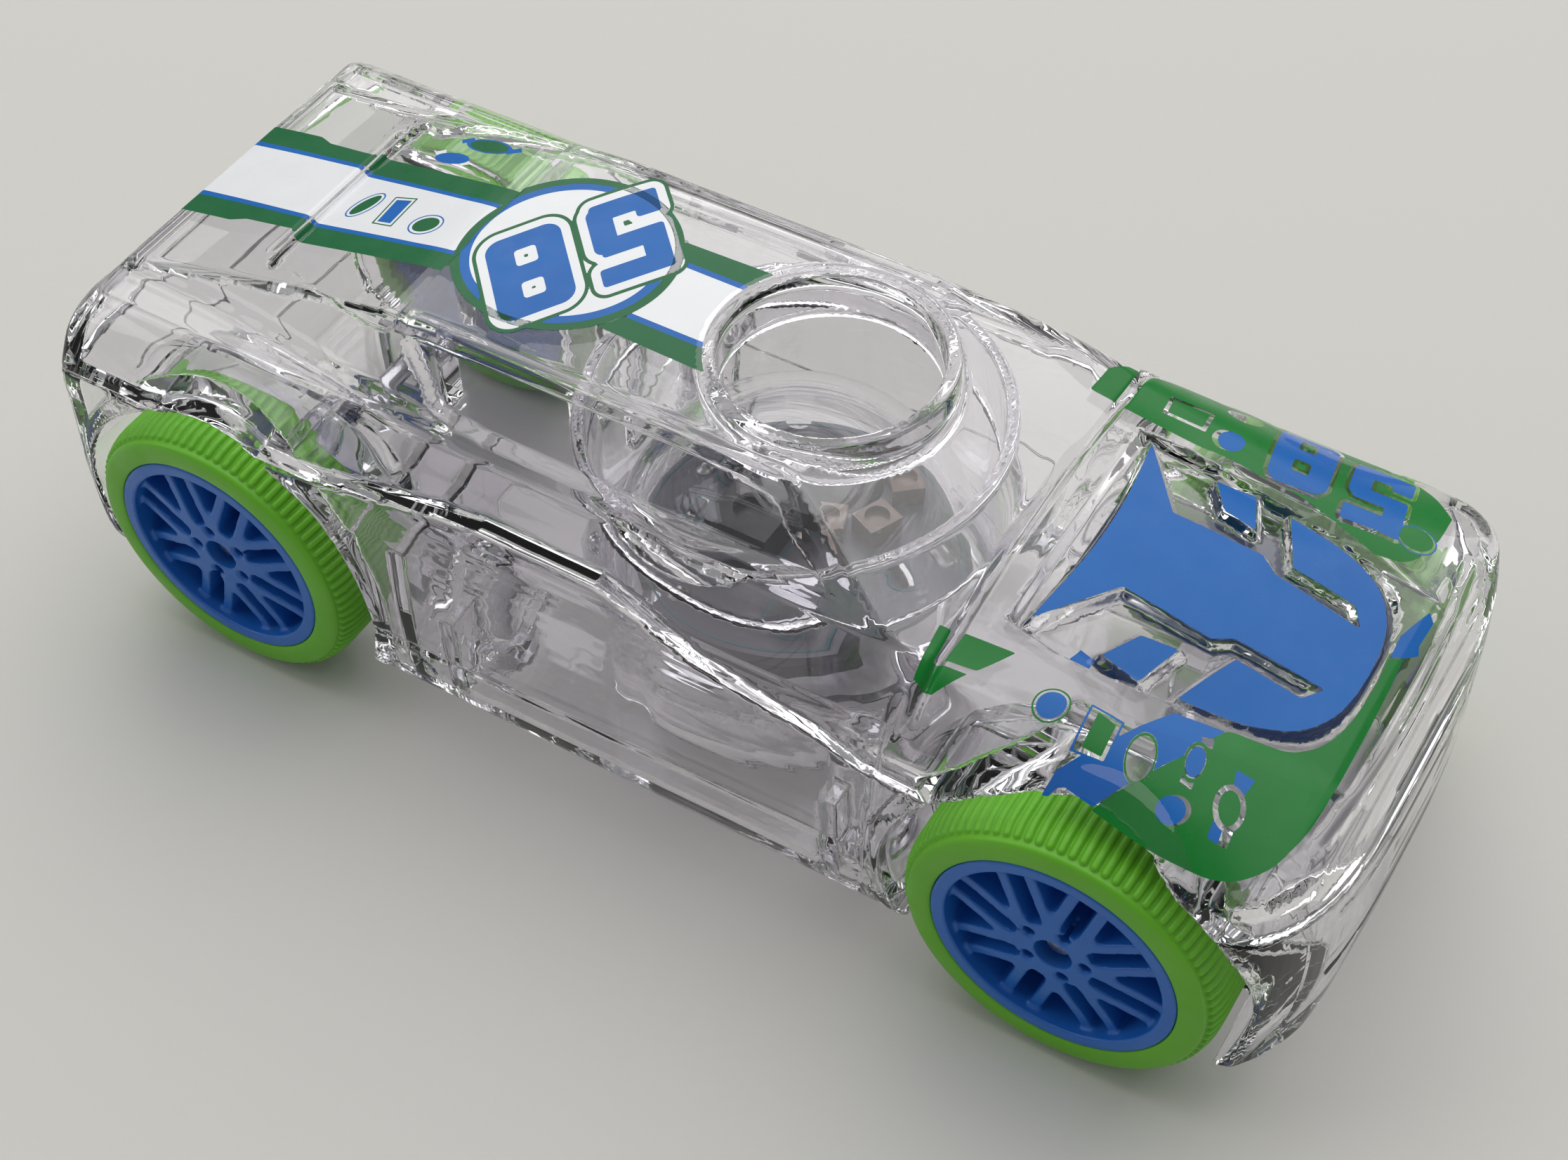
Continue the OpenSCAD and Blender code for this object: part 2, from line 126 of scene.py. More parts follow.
SIDE = rounded(spline([
    (-57.7, 6.6, 1), (-58.9, 14), (-59.6, 22), (-59.6, 27.5), (-58.6, 31.5), (-56.6, 35.2, 1), (20, 35.0, 1),
    (27.5, 35.3), (34, 35.0), (42, 33.8), (50, 31.8), (54.5, 30.5), (57.6, 28.2), (59.2, 24.5), (59.7, 19),
    (59.5, 12), (58.5, 6.6, 1),
]))
DOOR = rounded(spline([
    (-30, 6.6, 1), (22.4, 6.6, 1), (23.5, 9.6), (24.0, 18), (23.5, 26.5), (22.4, 29.5, 1), (18.1, 34.9, 1),
    (-30, 34.9, 1),
]))
FENDER = rounded(spline([
    (-30, 6.6, 1), (22.4, 6.6, 1), (23.5, 9.6), (24.0, 18), (23.8, 25), (23.5, 28), (22.0, 31.2), (18.4, 34),
    (10, 38, 1), (-30, 38, 1),
]))
PLAN = rounded(spline([
    (59.75, -30, 1), (59.75, 0), (59.5, 7), (58.7, 13.5), (57.2, 18.6), (54.6, 22.4), (50, 24.2),
    (40, 24.6, 1),
    (-50, 24.6, 1), (-57.7, 24.0, 1), (-58.9, 16), (-59.6, 7), (-59.75, 0), (-59.75, -30, 1),
]))
CABIN = rounded(spline([
    (-56.4, 25, 1), (-56.4, 35.3, 1), (-50.8, 36.4), (-43.6, 37.7), (-37.8, 38.9), (-32.8, 39.9),
    (-27.8, 40.8),
    (-18, 41.6), (-7.8, 42.0), (2, 42.0), (8, 41.75), (12, 41.4), (60, 41.4, 1), (60, 25, 1),
]))
CABIN_ACROSS = rounded(spline([
    (-30, 25, 1), (18.1, 25, 1), (18.1, 34.9, 1), (12.8, 41.15, 1), (8, 41.8), (0, 42.0), (-30, 42.0, 1),
]))
# surface details: outlines in plan, or (x, z) for the side window
HOOD = spline([
    (28.3, -14, 1), (28.2, 11.5, 1), (33, 12.0), (39, 11.5), (45, 10.9), (49.5, 9.9), (52.2, 8),
    (53.4, 5), (53.8, 0, 1),
    (53.8, -14, 1),
])
CROWN = spline([
    (29.6, 10.8, 1), (34.4, 4.5, 1), (42.0, 4.9, 1), (43.5, 3.8, 1), (50.8, 3.5, 1), (49.7, 5.2, 1),
    (44.3, 5.25, 1),
    (41.9, 10.6, 1), (46, 10.1), (48.8, 9.2), (51, 7.7), (52.4, 5.4), (53, 3), (53.2, 0, 1), (53, -12, 1),
    (30.8, -12, 1),
    (30.8, 0), (30.5, 5),
])
SCOOP = [(35.5, 10.35), (37.4, 7.4), (40.5, 6.9), (38.9, 10.9)]
REAR_WINDOW = spline([
    (-43.2, -20, 1), (-43.2, 8.4), (-40, 10.8), (-35, 12.6), (-29, 13.6), (-27.2, 13.2, 1), (-27.2, -20, 1),
])
SIDE_WINDOW = spline([
    (-25.5, 39.7), (-14, 40.2), (0, 40.2), (8.6, 39.7), (11.2, 38.2), (15.5, 36), (15, 35.6), (-2, 35.5),
    (-19, 35.8),
    (-23, 37.4),
])


def groove(distance, width, depth):
    return depth * np.exp(-((distance / width) ** 2))


def detail(x, y, z):
    """How far each surface point is sunk, with y on one side only."""
    up = ramp(z, 27, 29.5)
    hood = area(x, y, HOOD)
    crown = np.minimum(area(x, y, CROWN), area(x, y, SCOOP))
    deep = 1.05 - 0.35 * ramp(x, 30, 52)
    sunk = ramp(-hood, -0.1, 0.6) * ramp(crown, -0.05, 0.6) * deep * up
    roof = ramp(z, 35.6, 36)
    rear = ramp(-area(x, y, REAR_WINDOW), -0.1, 0.5) * 0.75 * roof
    side = ramp(-area(x, z, SIDE_WINDOW), -0.1, 0.5) * 0.7 * ramp(y, 11.5, 12.5)
    lines = groove(x + 43.5, 0.3, 0.25) * roof * ramp(9.6 - y, 0, 0.5)
    lines = np.maximum(lines, groove(x - 25.4, 0.4, 0.4) * ramp(z, 30, 31) * ramp(22 - y, 0, 1))
    door = x - 22.3 - 0.08 * (z - 10)
    lines = np.maximum(lines, groove(door, 0.3, 0.22) * ramp(y, 20, 21) * ramp(z, 8, 9) * ramp(34 - z, 0, 1))
    nose = np.minimum(np.abs(x - 56.0 + y * y / 260), np.abs(x - 57.1 + y * y / 260))
    lines = np.maximum(lines, groove(nose, 0.24, 0.18) * ramp(z, 27.2, 27.8) * ramp(16 - y, 0, 1))
    rail = np.maximum(np.abs(y - 11.9), np.maximum(x - 10, -26 - x))
    lines = np.maximum(lines, groove(rail, 0.28, 0.16) * ramp(z, 39.5, 40.2))
    for cx, cz in SILL_OVALS:
        oval = np.hypot(x - cx, (z - cz) * 1.2) - 2.3
        lines = np.maximum(lines, groove(oval, 0.26, 0.18) * ramp(y, 20, 21) * ramp(20 - z, 0, 1))
    crease = z - 13.6 - 1.2 * ramp(x, -28, 22)
    sill = groove(crease, 0.35, 0.2) * ramp(y, 20, 21) * ramp(x, -27.5, -26.5) * ramp(21 - x, 0, 1)
    grille = groove(np.abs(z - 17.5) - 4.2, 0.3, 0.25) * ramp(np.abs(x) - 57.2, 0, 0.6) * ramp(15 - y, 0, 0.6)
    lines = np.maximum(lines, np.maximum(sill, grille))
    return sunk + rear + side + lines


def outside(x, y, z):
    """Outer skin without details, with y on one side only."""
    side = area(x, z, SIDE)
    w = ramp(x, 18, 27)
    crest = 17.2 - (np.clip(x, 24, 60) - 24) * 0.17
    crest_z = np.interp(x, [20, 24, 32, 40, 48, 56, 60], [33.9, 33.6, 33.2, 32.6, 31.8, 30.4, 29.0])
    bulge_z = np.interp(x, [20, 27.5, 30, 34, 38, 42, 46, 50, 54.5, 60],
        [34.9, 35.2, 35.1, 34.8, 34.3, 33.6, 32.7, 31.6, 30.4, 28])
    valley_z = np.interp(x, [20, 27, 30, 35.5, 39, 42, 46, 50, 54.5, 60],
        [34.7, 34.6, 34.3, 33.2, 32.6, 32.2, 31.6, 31.0, 30.2, 28])
    t = np.clip((y - crest) / (23.4 - crest), 0, 1.5)
    fall = (crest_z - 28.0) * (0.2 * t + 0.8 * t * t)
    across = bulge_z - (bulge_z - valley_z) * np.minimum(y / 10.5, 1) ** 2
    hood = across + (crest_z - across) * ramp(y, 9.5, crest)
    top = np.where(y < crest, hood, crest_z - fall)
    fender = both(area(y, z, FENDER), (z - top) * 0.88, 0.5)
    haunch = 0.7 * ramp(-x, 20, 34) * ramp(z, 25, 30) * ramp(35 - z, 0, 3)
    hull = both((area(y, z, DOOR) - haunch) * (1 - w) + fender * w, side, 0.8)
    hull = both(hull, area(x, y, PLAN), 1.0)
    taper = 3.2 * ramp(-x, 18, 52)
    cabin = both(area(x, z, CABIN), area(y + taper, z, CABIN_ACROSS), 0.5)
    screen = ((x + y * y / 58 - 12.8) * 6.2 + (z - 41.2) * 13) / 14.4
    cabin = both(cabin, screen, 0.7)
    cabin = both(cabin, area(x, y, PLAN) + 0.3, 0.5)
    return either(hull, cabin, 0.5)


def outer_skin(x, y, z):
    y = np.abs(y)
    return outside(x, y, z) + detail(x, y, z)


def parting(x):
    return np.interp(
        x, [-60, -30, -23.7, -14.4, -2.8, 2, 7.6, 18, 22.5, 60],
        [29.0, 29.0, 29.4, 30.2, 30.1, 29.2, 27.8, 26.5, 25.2, 24.2]
    )


def clear_body(x, y, z):
    """Both clear shells together."""
    y = np.abs(y)
    skin = outside(x, y, z)
    outer = skin + detail(x, y, z)
    flute = 0.03 * np.sin(x * 0.9 + 1.9 * np.sin(x * 0.37)) * ramp(y, 17, 20) * ramp(30 - z, 0, 3)
    hollow = both(skin + WALL + flute, FLOOR_Z + WALL - z, 0.8)
    solid = both(outer, -hollow, 0.3)
    # wheel arches
    for cx, cz in ((REAR_X + ARCH_FWD, AXLE_Z + ARCH_UP), (FRONT_X, AXLE_Z + ARCH_UP)):
        r = np.hypot(x - cx, z - cz)
        drum = both(r - ARCH_R - 1.2, 13.8 - y, 0.4)
        solid = either(solid, both(drum, outer, 0.3), 0.5)
    # ball well: a cup round the ball and a tube above it
    bx = x - BALL_X
    tube_r = np.hypot(bx, y)
    ball_d = np.sqrt(bx * bx + y * y + (z - BALL_R) ** 2)
    cup = both(ball_d - WELL_R - 1.3, z - BALL_R, 0.2)
    tube = both(tube_r - WELL_R - 1.2, np.maximum(z - 33.4, BALL_R - z), 0.4)
    solid = either(solid, both(np.minimum(cup, tube), outer, 0.3), 0.5)
    # screw posts with a foot and a web
    for sx, sy in SCREWS:
        post = both(np.hypot(x - sx, y - sy) - 2.3, np.maximum(outer + 0.6, z - 20.5), 0.6)
        foot = both(np.hypot(x - sx, y - sy) - 3.5, z - 12, 0.4)
        solid = either(solid, both(np.minimum(post, foot), outer, 0.3), 0.6)
        web = both(np.abs(x - sx) - 0.6, np.maximum(sy - y, z - 18), 0.2)
        solid = either(solid, both(web, outer + 0.5, 0.3), 0.4)
    # blocks for the axles and a rib in front of and behind the well
    for ax in (REAR_X, FRONT_X):
        block = both(np.abs(x - ax) - 3.5, np.maximum(np.abs(y - 6) - 1.5, z - AXLE_Z - 3.6), 0.4)
        solid = either(solid, both(block, FLOOR_Z - z, 0.3), 0.5)
    for rx in (-22.5, -27.5):
        rib = both(np.abs(x - rx) - 0.6, np.maximum(z - 24, 9 - y), 0.2)
        solid = either(solid, both(rib, outer + 0.5, 0.3), 0.4)
    # collar round the roof hole
    hole = np.hypot(x - HOLE_X, y)
    collar = both(hole - HOLE_R - 1.25, np.maximum(z - HOLE_TOP, HOLE_LOW - z), 0.35)
    solid = either(solid, collar, 0.45)
    # spaces
    for cx, cz in ((REAR_X + ARCH_FWD, AXLE_Z + ARCH_UP), (FRONT_X, AXLE_Z + ARCH_UP)):
        solid = both(solid, -both(np.hypot(x - cx, z - cz) - ARCH_R, 15 - y, 0.5), 0.35)
    solid = both(solid, -both(hole - HOLE_R, HOLE_LOW - 5 - z, 0.3), 0.3)
    solid = both(solid, -np.minimum(
        ball_d - BALL_R - 0.6, both(tube_r - WELL_R, np.maximum(BALL_R - z, z - 35), 0.3)), 0.3)
    for ax in (REAR_X, FRONT_X):
        solid = both(solid, 1.1 - np.hypot(x - ax, z - AXLE_Z), 0.1)
    for sx, sy in SCREWS:
        d = np.hypot(x - sx, y - sy)
        solid = both(solid, -both(d - 1.42, z - 22, 0.2), 0.1)
        solid = both(solid, -both(d - 2.5, z - 7.3, 0.1), 0.1)
    return solid


def upper_shell(x, y, z):
    return both(clear_body(x, y, z), parting(x) + 0.03 - z, 0.12)


def lower_shell(x, y, z):
    return both(clear_body(x, y, z), z - parting(x) + 0.03, 0.12)


# ---------------------------------------------------------------- mesh of a field
def surface(field, lo, hi, step, mirror=True):
    """Points, quads and normals of a field's surface.

    Surface nets over a grid give the first points, which then move onto the surface.
    """
    axes = [np.arange(lo[c], hi[c] + step, step) for c in range(3)]
    if mirror:
        half = np.arange(0, hi[1] + step, step)
        axes[1] = half
    x, y, z = axes
    values = np.empty((len(x), len(y), len(z)), np.float32)
    for i in range(0, len(x), 16):
        values[i : i + 16] = field(x[i : i + 16, None, None], y[None, :, None], z[None, None, :])
    if mirror:
        values = np.concatenate([values[:, :0:-1], values], 1)
        y = np.concatenate([-y[:0:-1], y])
    neg = values < 0
    count = np.zeros(tuple(s - 1 for s in neg.shape), np.int8)
    corners = [(a, b, c) for a in (0, 1) for b in (0, 1) for c in (0, 1)]
    for a, b, c in corners:
        count += neg[a : a + count.shape[0], b : b + count.shape[1], c : c + count.shape[2]]
    cells = np.argwhere((count > 0) & (count < 8))
    ids = np.full(count.shape, -1, np.int64)
    ids[tuple(cells.T)] = np.arange(len(cells))
    corner_values = np.stack([values[tuple((cells + np.array(c)).T)] for c in corners], 1)
    position = np.zeros((len(cells), 3))
    crossings = np.zeros(len(cells))
    for m, a in enumerate(corners):
        for n, b in enumerate(corners):
            if n > m and sum(abs(p - q) for p, q in zip(a, b)) == 1:
                va, vb = corner_values[:, m], corner_values[:, n]
                cut = (va < 0) != (vb < 0)
                t = np.where(cut, va / np.where(va == vb, 1, va - vb), 0)
                point = np.array(a) + t[:, None] * (np.array(b) - np.array(a))
                position += point * cut[:, None]
                crossings += cut
    origin = np.array([x[0], y[0], z[0]])
    points = origin + (cells + position / crossings[:, None]) * step
    quads = []
    for axis in range(3):
        one = [slice(None)] * 3
        two = [slice(None)] * 3
        one[axis], two[axis] = slice(0, -1), slice(1, None)
        change = neg[tuple(one)] != neg[tuple(two)]
        edge = np.argwhere(change)
        u, v = [(1, 2), (2, 0), (0, 1)][axis]
        edge = edge[(edge[:, u] > 0) & (edge[:, v] > 0)
                    & (edge[:, u] < neg.shape[u] - 1) & (edge[:, v] < neg.shape[v] - 1)]
        ring = []
        for du, dv in ((1, 1), (0, 1), (0, 0), (1, 0)):
            cell = edge.copy()
            cell[:, u] -= du
            cell[:, v] -= dv
            ring.append(ids[tuple(cell.T)])
        ring = np.stack(ring, 1)
        inward = neg[tuple(edge.T)]
        ring[~inward] = ring[~inward][:, ::-1]
        quads.append(ring)
    quads = np.concatenate(quads)
    todo = points[:, 1] >= 0 if mirror else np.ones(len(points), bool)
    work = points[todo]
    e = 0.02

    def gradient(p):
        total = np.zeros_like(p)
        mean = 0
        for sign in ((1, 1, 1), (1, -1, -1), (-1, 1, -1), (-1, -1, 1)):
            k = np.array(sign)
            value = field(*(p + e * k).T)
            total += value[:, None] * k
            mean = mean + value / 4
        return total / (4 * e), mean

    for _ in range(3):
        slope, value = gradient(work)
        move = -value[:, None] * slope / np.maximum((slope**2).sum(1), 0.2)[:, None]
        size = np.linalg.norm(move, axis=1)[:, None]
        work = work + move * np.minimum(1, 0.5 * step / np.maximum(size, 1e-9))
    slope, _ = gradient(work)
    points[todo] = work
    normals = np.zeros_like(points)
    normals[todo] = slope
    if mirror:
        twin = ids[cells[:, 0], count.shape[1] - 1 - cells[:, 1], cells[:, 2]]
        other = ~todo
        points[other] = points[twin[other]] * [1, -1, 1]
        normals[other] = normals[twin[other]] * [1, -1, 1]
    normals /= np.linalg.norm(normals, axis=1)[:, None] + 1e-9
    a, b, c, d = (points[quads[:, k]] for k in range(4))
    face = np.cross(c - a, d - b)
    flat = np.zeros_like(points)
    for k in range(4):
        for axis in range(3):
            flat[:, axis] += np.bincount(quads[:, k], face[:, axis], len(points))
    flat /= np.linalg.norm(flat, axis=1)[:, None] + 1e-12
    trust = ramp((flat * normals).sum(1), 0.75, 0.95)[:, None]
    normals = normals * trust + flat * (1 - trust)
    return points, quads, normals


def quad_piece(name, points, quads, normals):
    mesh = bpy.data.meshes.new(name)
    mesh.vertices.add(len(points))
    mesh.vertices.foreach_set("co", (points * MM).astype(np.float32).ravel())
    mesh.loops.add(len(quads) * 4)
    mesh.loops.foreach_set("vertex_index", quads.astype(np.int32).ravel())
    mesh.polygons.add(len(quads))
    mesh.polygons.foreach_set("loop_start", np.arange(0, len(quads) * 4, 4, dtype=np.int32))
    mesh.update(calc_edges=True)
    mesh.validate()
    mesh.polygons.foreach_set("use_smooth", np.ones(len(mesh.polygons), bool))
    if normals is not None:
        mesh.normals_split_custom_set_from_vertices(normals.astype(np.float32))
    piece = bpy.data.objects.new(name, mesh)
    bpy.context.scene.collection.objects.link(piece)
    return piece


# ---------------------------------------------------------------- materials
def new_material(name):
    material = bpy.data.materials.new(name)
    material.use_nodes = True
    tree = material.node_tree
    return material, tree, tree.nodes["Principled BSDF"]


def noise(tree, scale, detail_=3.0, rough=0.5):
    coords = tree.nodes.new("ShaderNodeTexCoord")
    node = tree.nodes.new("ShaderNodeTexNoise")
    node.inputs["Scale"].default_value = scale
    node.inputs["Detail"].default_value = detail_
    node.inputs["Roughness"].default_value = rough
    tree.links.new(coords.outputs["Object"], node.inputs["Vector"])
    return node.outputs["Fac"]


def spread(tree, value, lo, hi):
    node = tree.nodes.new("ShaderNodeMapRange")
    node.inputs["To Min"].default_value = lo
    node.inputs["To Max"].default_value = hi
    node.inputs["From Min"].default_value = 0.3
    node.inputs["From Max"].default_value = 0.7
    tree.links.new(value, node.inputs["Value"])
    return node.outputs["Result"]


def bump(tree, shader, height, distance, strength=1.0):
    node = tree.nodes.new("ShaderNodeBump")
    node.inputs["Strength"].default_value = strength
    node.inputs["Distance"].default_value = distance
    tree.links.new(height, node.inputs["Height"])
    tree.links.new(node.outputs["Normal"], shader.inputs["Normal"])


def mixed(tree, value, a, b):
    node = tree.nodes.new("ShaderNodeMix")
    node.data_type = "RGBA"
    node.inputs["A"].default_value = (*a, 1)
    node.inputs["B"].default_value = (*b, 1)
    tree.links.new(value, node.inputs["Factor"])
    return node.outputs["Result"]


SHADE = (0.82, 0.81, 0.83)


def clear_plastic(name, tint_a, tint_b, wave):
    material, tree, shader = new_material(name)
    soft = noise(tree, 45, 2)
    tree.links.new(mixed(tree, soft, tint_a, tint_b), shader.inputs["Base Color"])
    shader.inputs["Transmission Weight"].default_value = 1.0
    shader.inputs["IOR"].default_value = 1.49
    fine = noise(tree, 900, 4)
    tree.links.new(spread(tree, fine, 0.0, 0.03), shader.inputs["Roughness"])
    bump(tree, shader, noise(tree, 110, 2), wave)
    # light passes on to what is inside, a little dimmed
    path = tree.nodes.new("ShaderNodeLightPath")
    through = tree.nodes.new("ShaderNodeBsdfTransparent")
    through.inputs["Color"].default_value = (*SHADE, 1)
    mix = tree.nodes.new("ShaderNodeMixShader")
    tree.links.new(path.outputs["Is Shadow Ray"], mix.inputs["Fac"])
    tree.links.new(shader.outputs["BSDF"], mix.inputs[1])
    tree.links.new(through.outputs["BSDF"], mix.inputs[2])
    tree.links.new(mix.outputs["Shader"], tree.nodes["Material Output"].inputs["Surface"])
    return material


def plastic(name, a, b, rough, fine_scale, fine_depth, coat=0.0, sss=0.0, spec=0.5):
    material, tree, shader = new_material(name)
    tree.links.new(mixed(tree, noise(tree, 130, 3), a, b), shader.inputs["Base Color"])
    tree.links.new(spread(tree, noise(tree, 420, 4), rough * 0.8, rough * 1.25), shader.inputs["Roughness"])
    shader.inputs["Coat Weight"].default_value = coat
    shader.inputs["Coat Roughness"].default_value = 0.08
    shader.inputs["Subsurface Weight"].default_value = sss
    shader.inputs["Subsurface Radius"].default_value = (0.001, 0.001, 0.0006)
    shader.inputs["Subsurface Scale"].default_value = 0.6
    shader.inputs["Specular IOR Level"].default_value = spec
    bump(tree, shader, noise(tree, fine_scale, 3), fine_depth)
    return material


def metal(name, a, b, rough):
    material, tree, shader = new_material(name)
    tree.links.new(mixed(tree, noise(tree, 300, 4), a, b), shader.inputs["Base Color"])
    shader.inputs["Metallic"].default_value = 1.0
    tree.links.new(spread(tree, noise(tree, 700, 4), rough * 0.7, rough * 1.4), shader.inputs["Roughness"])
    bump(tree, shader, noise(tree, 1500, 3), 0.00002)
    return material


def linear(r, g, b):
    return tuple(((c / 255 + 0.055) / 1.055) ** 2.4 if c > 10 else c / 255 / 12.92 for c in (r, g, b))


CLEAR = clear_plastic("clear_moulded", (0.955, 0.945, 0.975), (0.985, 0.975, 0.995), 0.00003)
CLEAR_BALL = clear_plastic("clear_ball", (0.97, 0.97, 0.98), (0.99, 0.99, 1.0), 0.00002)
TYRE = plastic("lime_soft_plastic", linear(108, 188, 34), linear(94, 174, 24), 0.42, 700, 0.00003, sss=0.15)
RIM = plastic("blue_plastic", linear(38, 112, 200), linear(30, 98, 184), 0.34, 600, 0.00003, sss=0.05)
BLUE = plastic("blue_ink", linear(4, 104, 186), linear(2, 92, 172), 0.3, 900, 0.00001, spec=0.3)
GREEN = plastic("green_ink", linear(6, 124, 44), linear(3, 110, 36), 0.3, 900, 0.00001, spec=0.3)
DARK_GREEN = plastic("dark_green_ink", linear(16, 106, 58), linear(12, 92, 50), 0.3, 900, 0.00001, spec=0.3)
WHITE = plastic("white_ink", linear(236, 238, 240), linear(226, 228, 232), 0.3, 900, 0.00001, coat=0.3)
STEEL = metal("steel", (0.62, 0.62, 0.64), (0.5, 0.5, 0.52), 0.25)
BRASS = metal("brass", (0.72, 0.6, 0.38), (0.62, 0.5, 0.3), 0.3)
BOARD = plastic("board", linear(72, 72, 78), linear(58, 60, 66), 0.4, 400, 0.00004, coat=0.3)
BLACK = plastic("black_plastic", linear(12, 12, 15), linear(18, 18, 22), 0.3, 500, 0.00005)
AMBER = plastic("amber", linear(120, 92, 58), linear(64, 50, 38), 0.25, 500, 0.00003, coat=0.5)

for node, material in {
    "case_screws": STEEL, "front_axle": STEEL, "rear_axle": STEEL, "coin_cells": STEEL,
    "motion_spring": STEEL,
    "motion_pin": BRASS, "battery_clip": BRASS, "ball_pcb": BOARD, "battery_tray": BLACK, "chip_blob": BLACK,
    "switch_block": BLACK, "capacitor": STEEL, "chip_resistors": BLACK, "led_red": AMBER, "led_green": AMBER,
    "led_blue": AMBER, "rim_front_right": RIM, "rim_front_left": RIM, "rim_rear_right": RIM,
    "rim_rear_left": RIM,
    "tyre_front_right": TYRE, "tyre_front_left": TYRE, "tyre_rear_right": TYRE, "tyre_rear_left": TYRE,
    "ball_top": CLEAR_BALL, "ball_base": CLEAR_BALL,
}.items():
    mesh = NODES[node].data
    mesh.materials.clear()
    mesh.materials.append(material)


# ---------------------------------------------------------------- clear shells
def place(piece, body, slot, material, *nodes):
    piece.data.materials.append(material)
    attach(piece, body)
    if nodes:
        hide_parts(*nodes)
    return piece


grid = 0.38
upper = quad_piece("clear_upper", *surface(upper_shell, (-60.6, -25.2, 23.4), (60.6, 25.2, 43), grid))
place(upper, "car_body", "clear_body", CLEAR, "body_shell")
lower = quad_piece("clear_lower", *surface(lower_shell, (-60.6, -25.2, 5.8), (60.6, 25.2, 31.2), grid))
place(lower, "car_body", "clear_body", CLEAR, "chassis")

# ---------------------------------------------------------------- wheels
PAIR, SPOKE_HALF, SPOKE_HALF_WIDE, LUG_AT = math.pi / 4, 1.27, 0.46, 2.7
WHEELS = {
    "front_right": (FRONT_X, -1, 74, "front_wheels"), "front_left": (FRONT_X, 1, 20, "front_wheels"),
    "rear_right": (REAR_X, -1, 250, "rear_wheels"), "rear_left": (REAR_X, 1, 130, "rear_wheels"),
}


def rim(u, v, w):
    """Wheel rim about w, its outer face at w = 0."""
    r, angle = np.hypot(u, v), np.arctan2(v, u)
    a = np.abs((angle + PAIR / 2) % PAIR - PAIR / 2)
    draft = SPOKE_HALF_WIDE - 0.04 * w
    own = np.abs(r * np.sin(a) - SPOKE_HALF) - draft
    other = np.abs(r * np.sin(PAIR - a) - SPOKE_HALF) - draft
    pattern = either(either(own, other, 0.9), r - 3.4, 0.3)
    face = -0.35 - 0.6 * ramp(r, 3.4, 9.4)
    spokes = both(both(pattern, r - 9.7, 0.2), np.maximum(w - face, -4.3 - w), 0.16)
    ring = both(both(r - RIM_R, 9.35 - r, 0.2), np.maximum(w, -7.9 - w), 0.2)
    web = both(r - 9.7, np.abs(w + 4.6) - 0.6, 0.1)
    hub = both(r - 2.6, np.maximum(w + 1, -7.9 - w), 0.1)
    solid = either(either(ring, web, 0.3), either(spokes, hub, 0.2), 0.35)
    solid = both(solid, -both(r - 1.6, -3.2 - w, 0.1), 0.15)
    solid = both(solid, AXLE_R - r, 0.05)
    b = (angle + math.pi / 5) % (2 * math.pi / 5) - math.pi / 5
    lug = np.hypot(r * np.cos(b) - LUG_AT, r * np.sin(b))
    dimple = np.hypot(lug, w - face - 0.6) - 0.95
    return both(solid, -np.minimum(both(lug - 0.5, -2.4 - w, 0.1), dimple), 0.1)


def wheel_to_model(points, side, turn):
    """Turn wheel coordinates (u, v, w) into model directions."""
    c, s = math.cos(math.radians(turn)), math.sin(math.radians(turn))
    u, v, w = points.T
    return np.stack([u * c - v * s, side * w, -side * (u * s + v * c)], 1)


def tyre():
    """Points and quads of a ribbed tyre about w."""
    ribs, per_rib = 90, 11
    profile = spline([
        (10.6, -0.25, 1), (10.72, -0.02), (11.2, 0.07), (11.9, 0.06), (12.45, -0.05), (12.72, -0.2),
        (12.84, -0.38),
        (12.86, -0.52), (12.9, -0.7), (12.98, -0.95), (13.12, -1.35), (13.25, -1.8), (13.33, -2.4),
        (13.35, -3.2),
        (13.35, -5), (13.35, -6.6), (13.34, -7.4), (13.2, -8), (12.8, -8.4), (12, -8.6), (10.8, -8.68),
        (10.6, -8.5, 1),
    ], 3)
    profile = np.array(profile[:-2])
    ahead, behind = np.roll(profile, -1, 0), np.roll(profile, 1, 0)
    along_ = ahead - behind
    out = np.stack([-along_[:, 1], along_[:, 0]], 1) / np.linalg.norm(along_, axis=1)[:, None]
    n = ribs * per_rib
    theta = np.arange(n) * 2 * math.pi / n
    across = np.abs((np.arange(n) / per_rib) % 1 - 0.5) * 2 * math.pi * 13.5 / ribs
    start, end = -0.98, -7.55
    w = profile[:, 1]
    beyond = np.maximum(np.maximum(w - start, end - w), 0)
    q = np.hypot(across[:, None], beyond[None, :]) / 0.33
    lift = np.where(profile[:, 0] > 12.2, 0.35, 0)[None, :] * np.clip(1 - q**3, 0, 1) ** 0.5
    r = np.minimum(profile[:, 0][None, :] + out[:, 0][None, :] * lift, TYRE_R)
    w = w[None, :] + out[:, 1][None, :] * lift
    points = np.stack([r * np.cos(theta)[:, None], r * np.sin(theta)[:, None], np.minimum(w, 0.1)],
        -1).reshape(-1, 3)
    m = len(profile)
    i, j = np.meshgrid(np.arange(n), np.arange(m), indexing="ij")
    i2, j2 = (i + 1) % n, (j + 1) % m
    quads = np.stack([i * m + j, i * m + j2, i2 * m + j2, i2 * m + j], -1).reshape(-1, 4)
    return points, quads


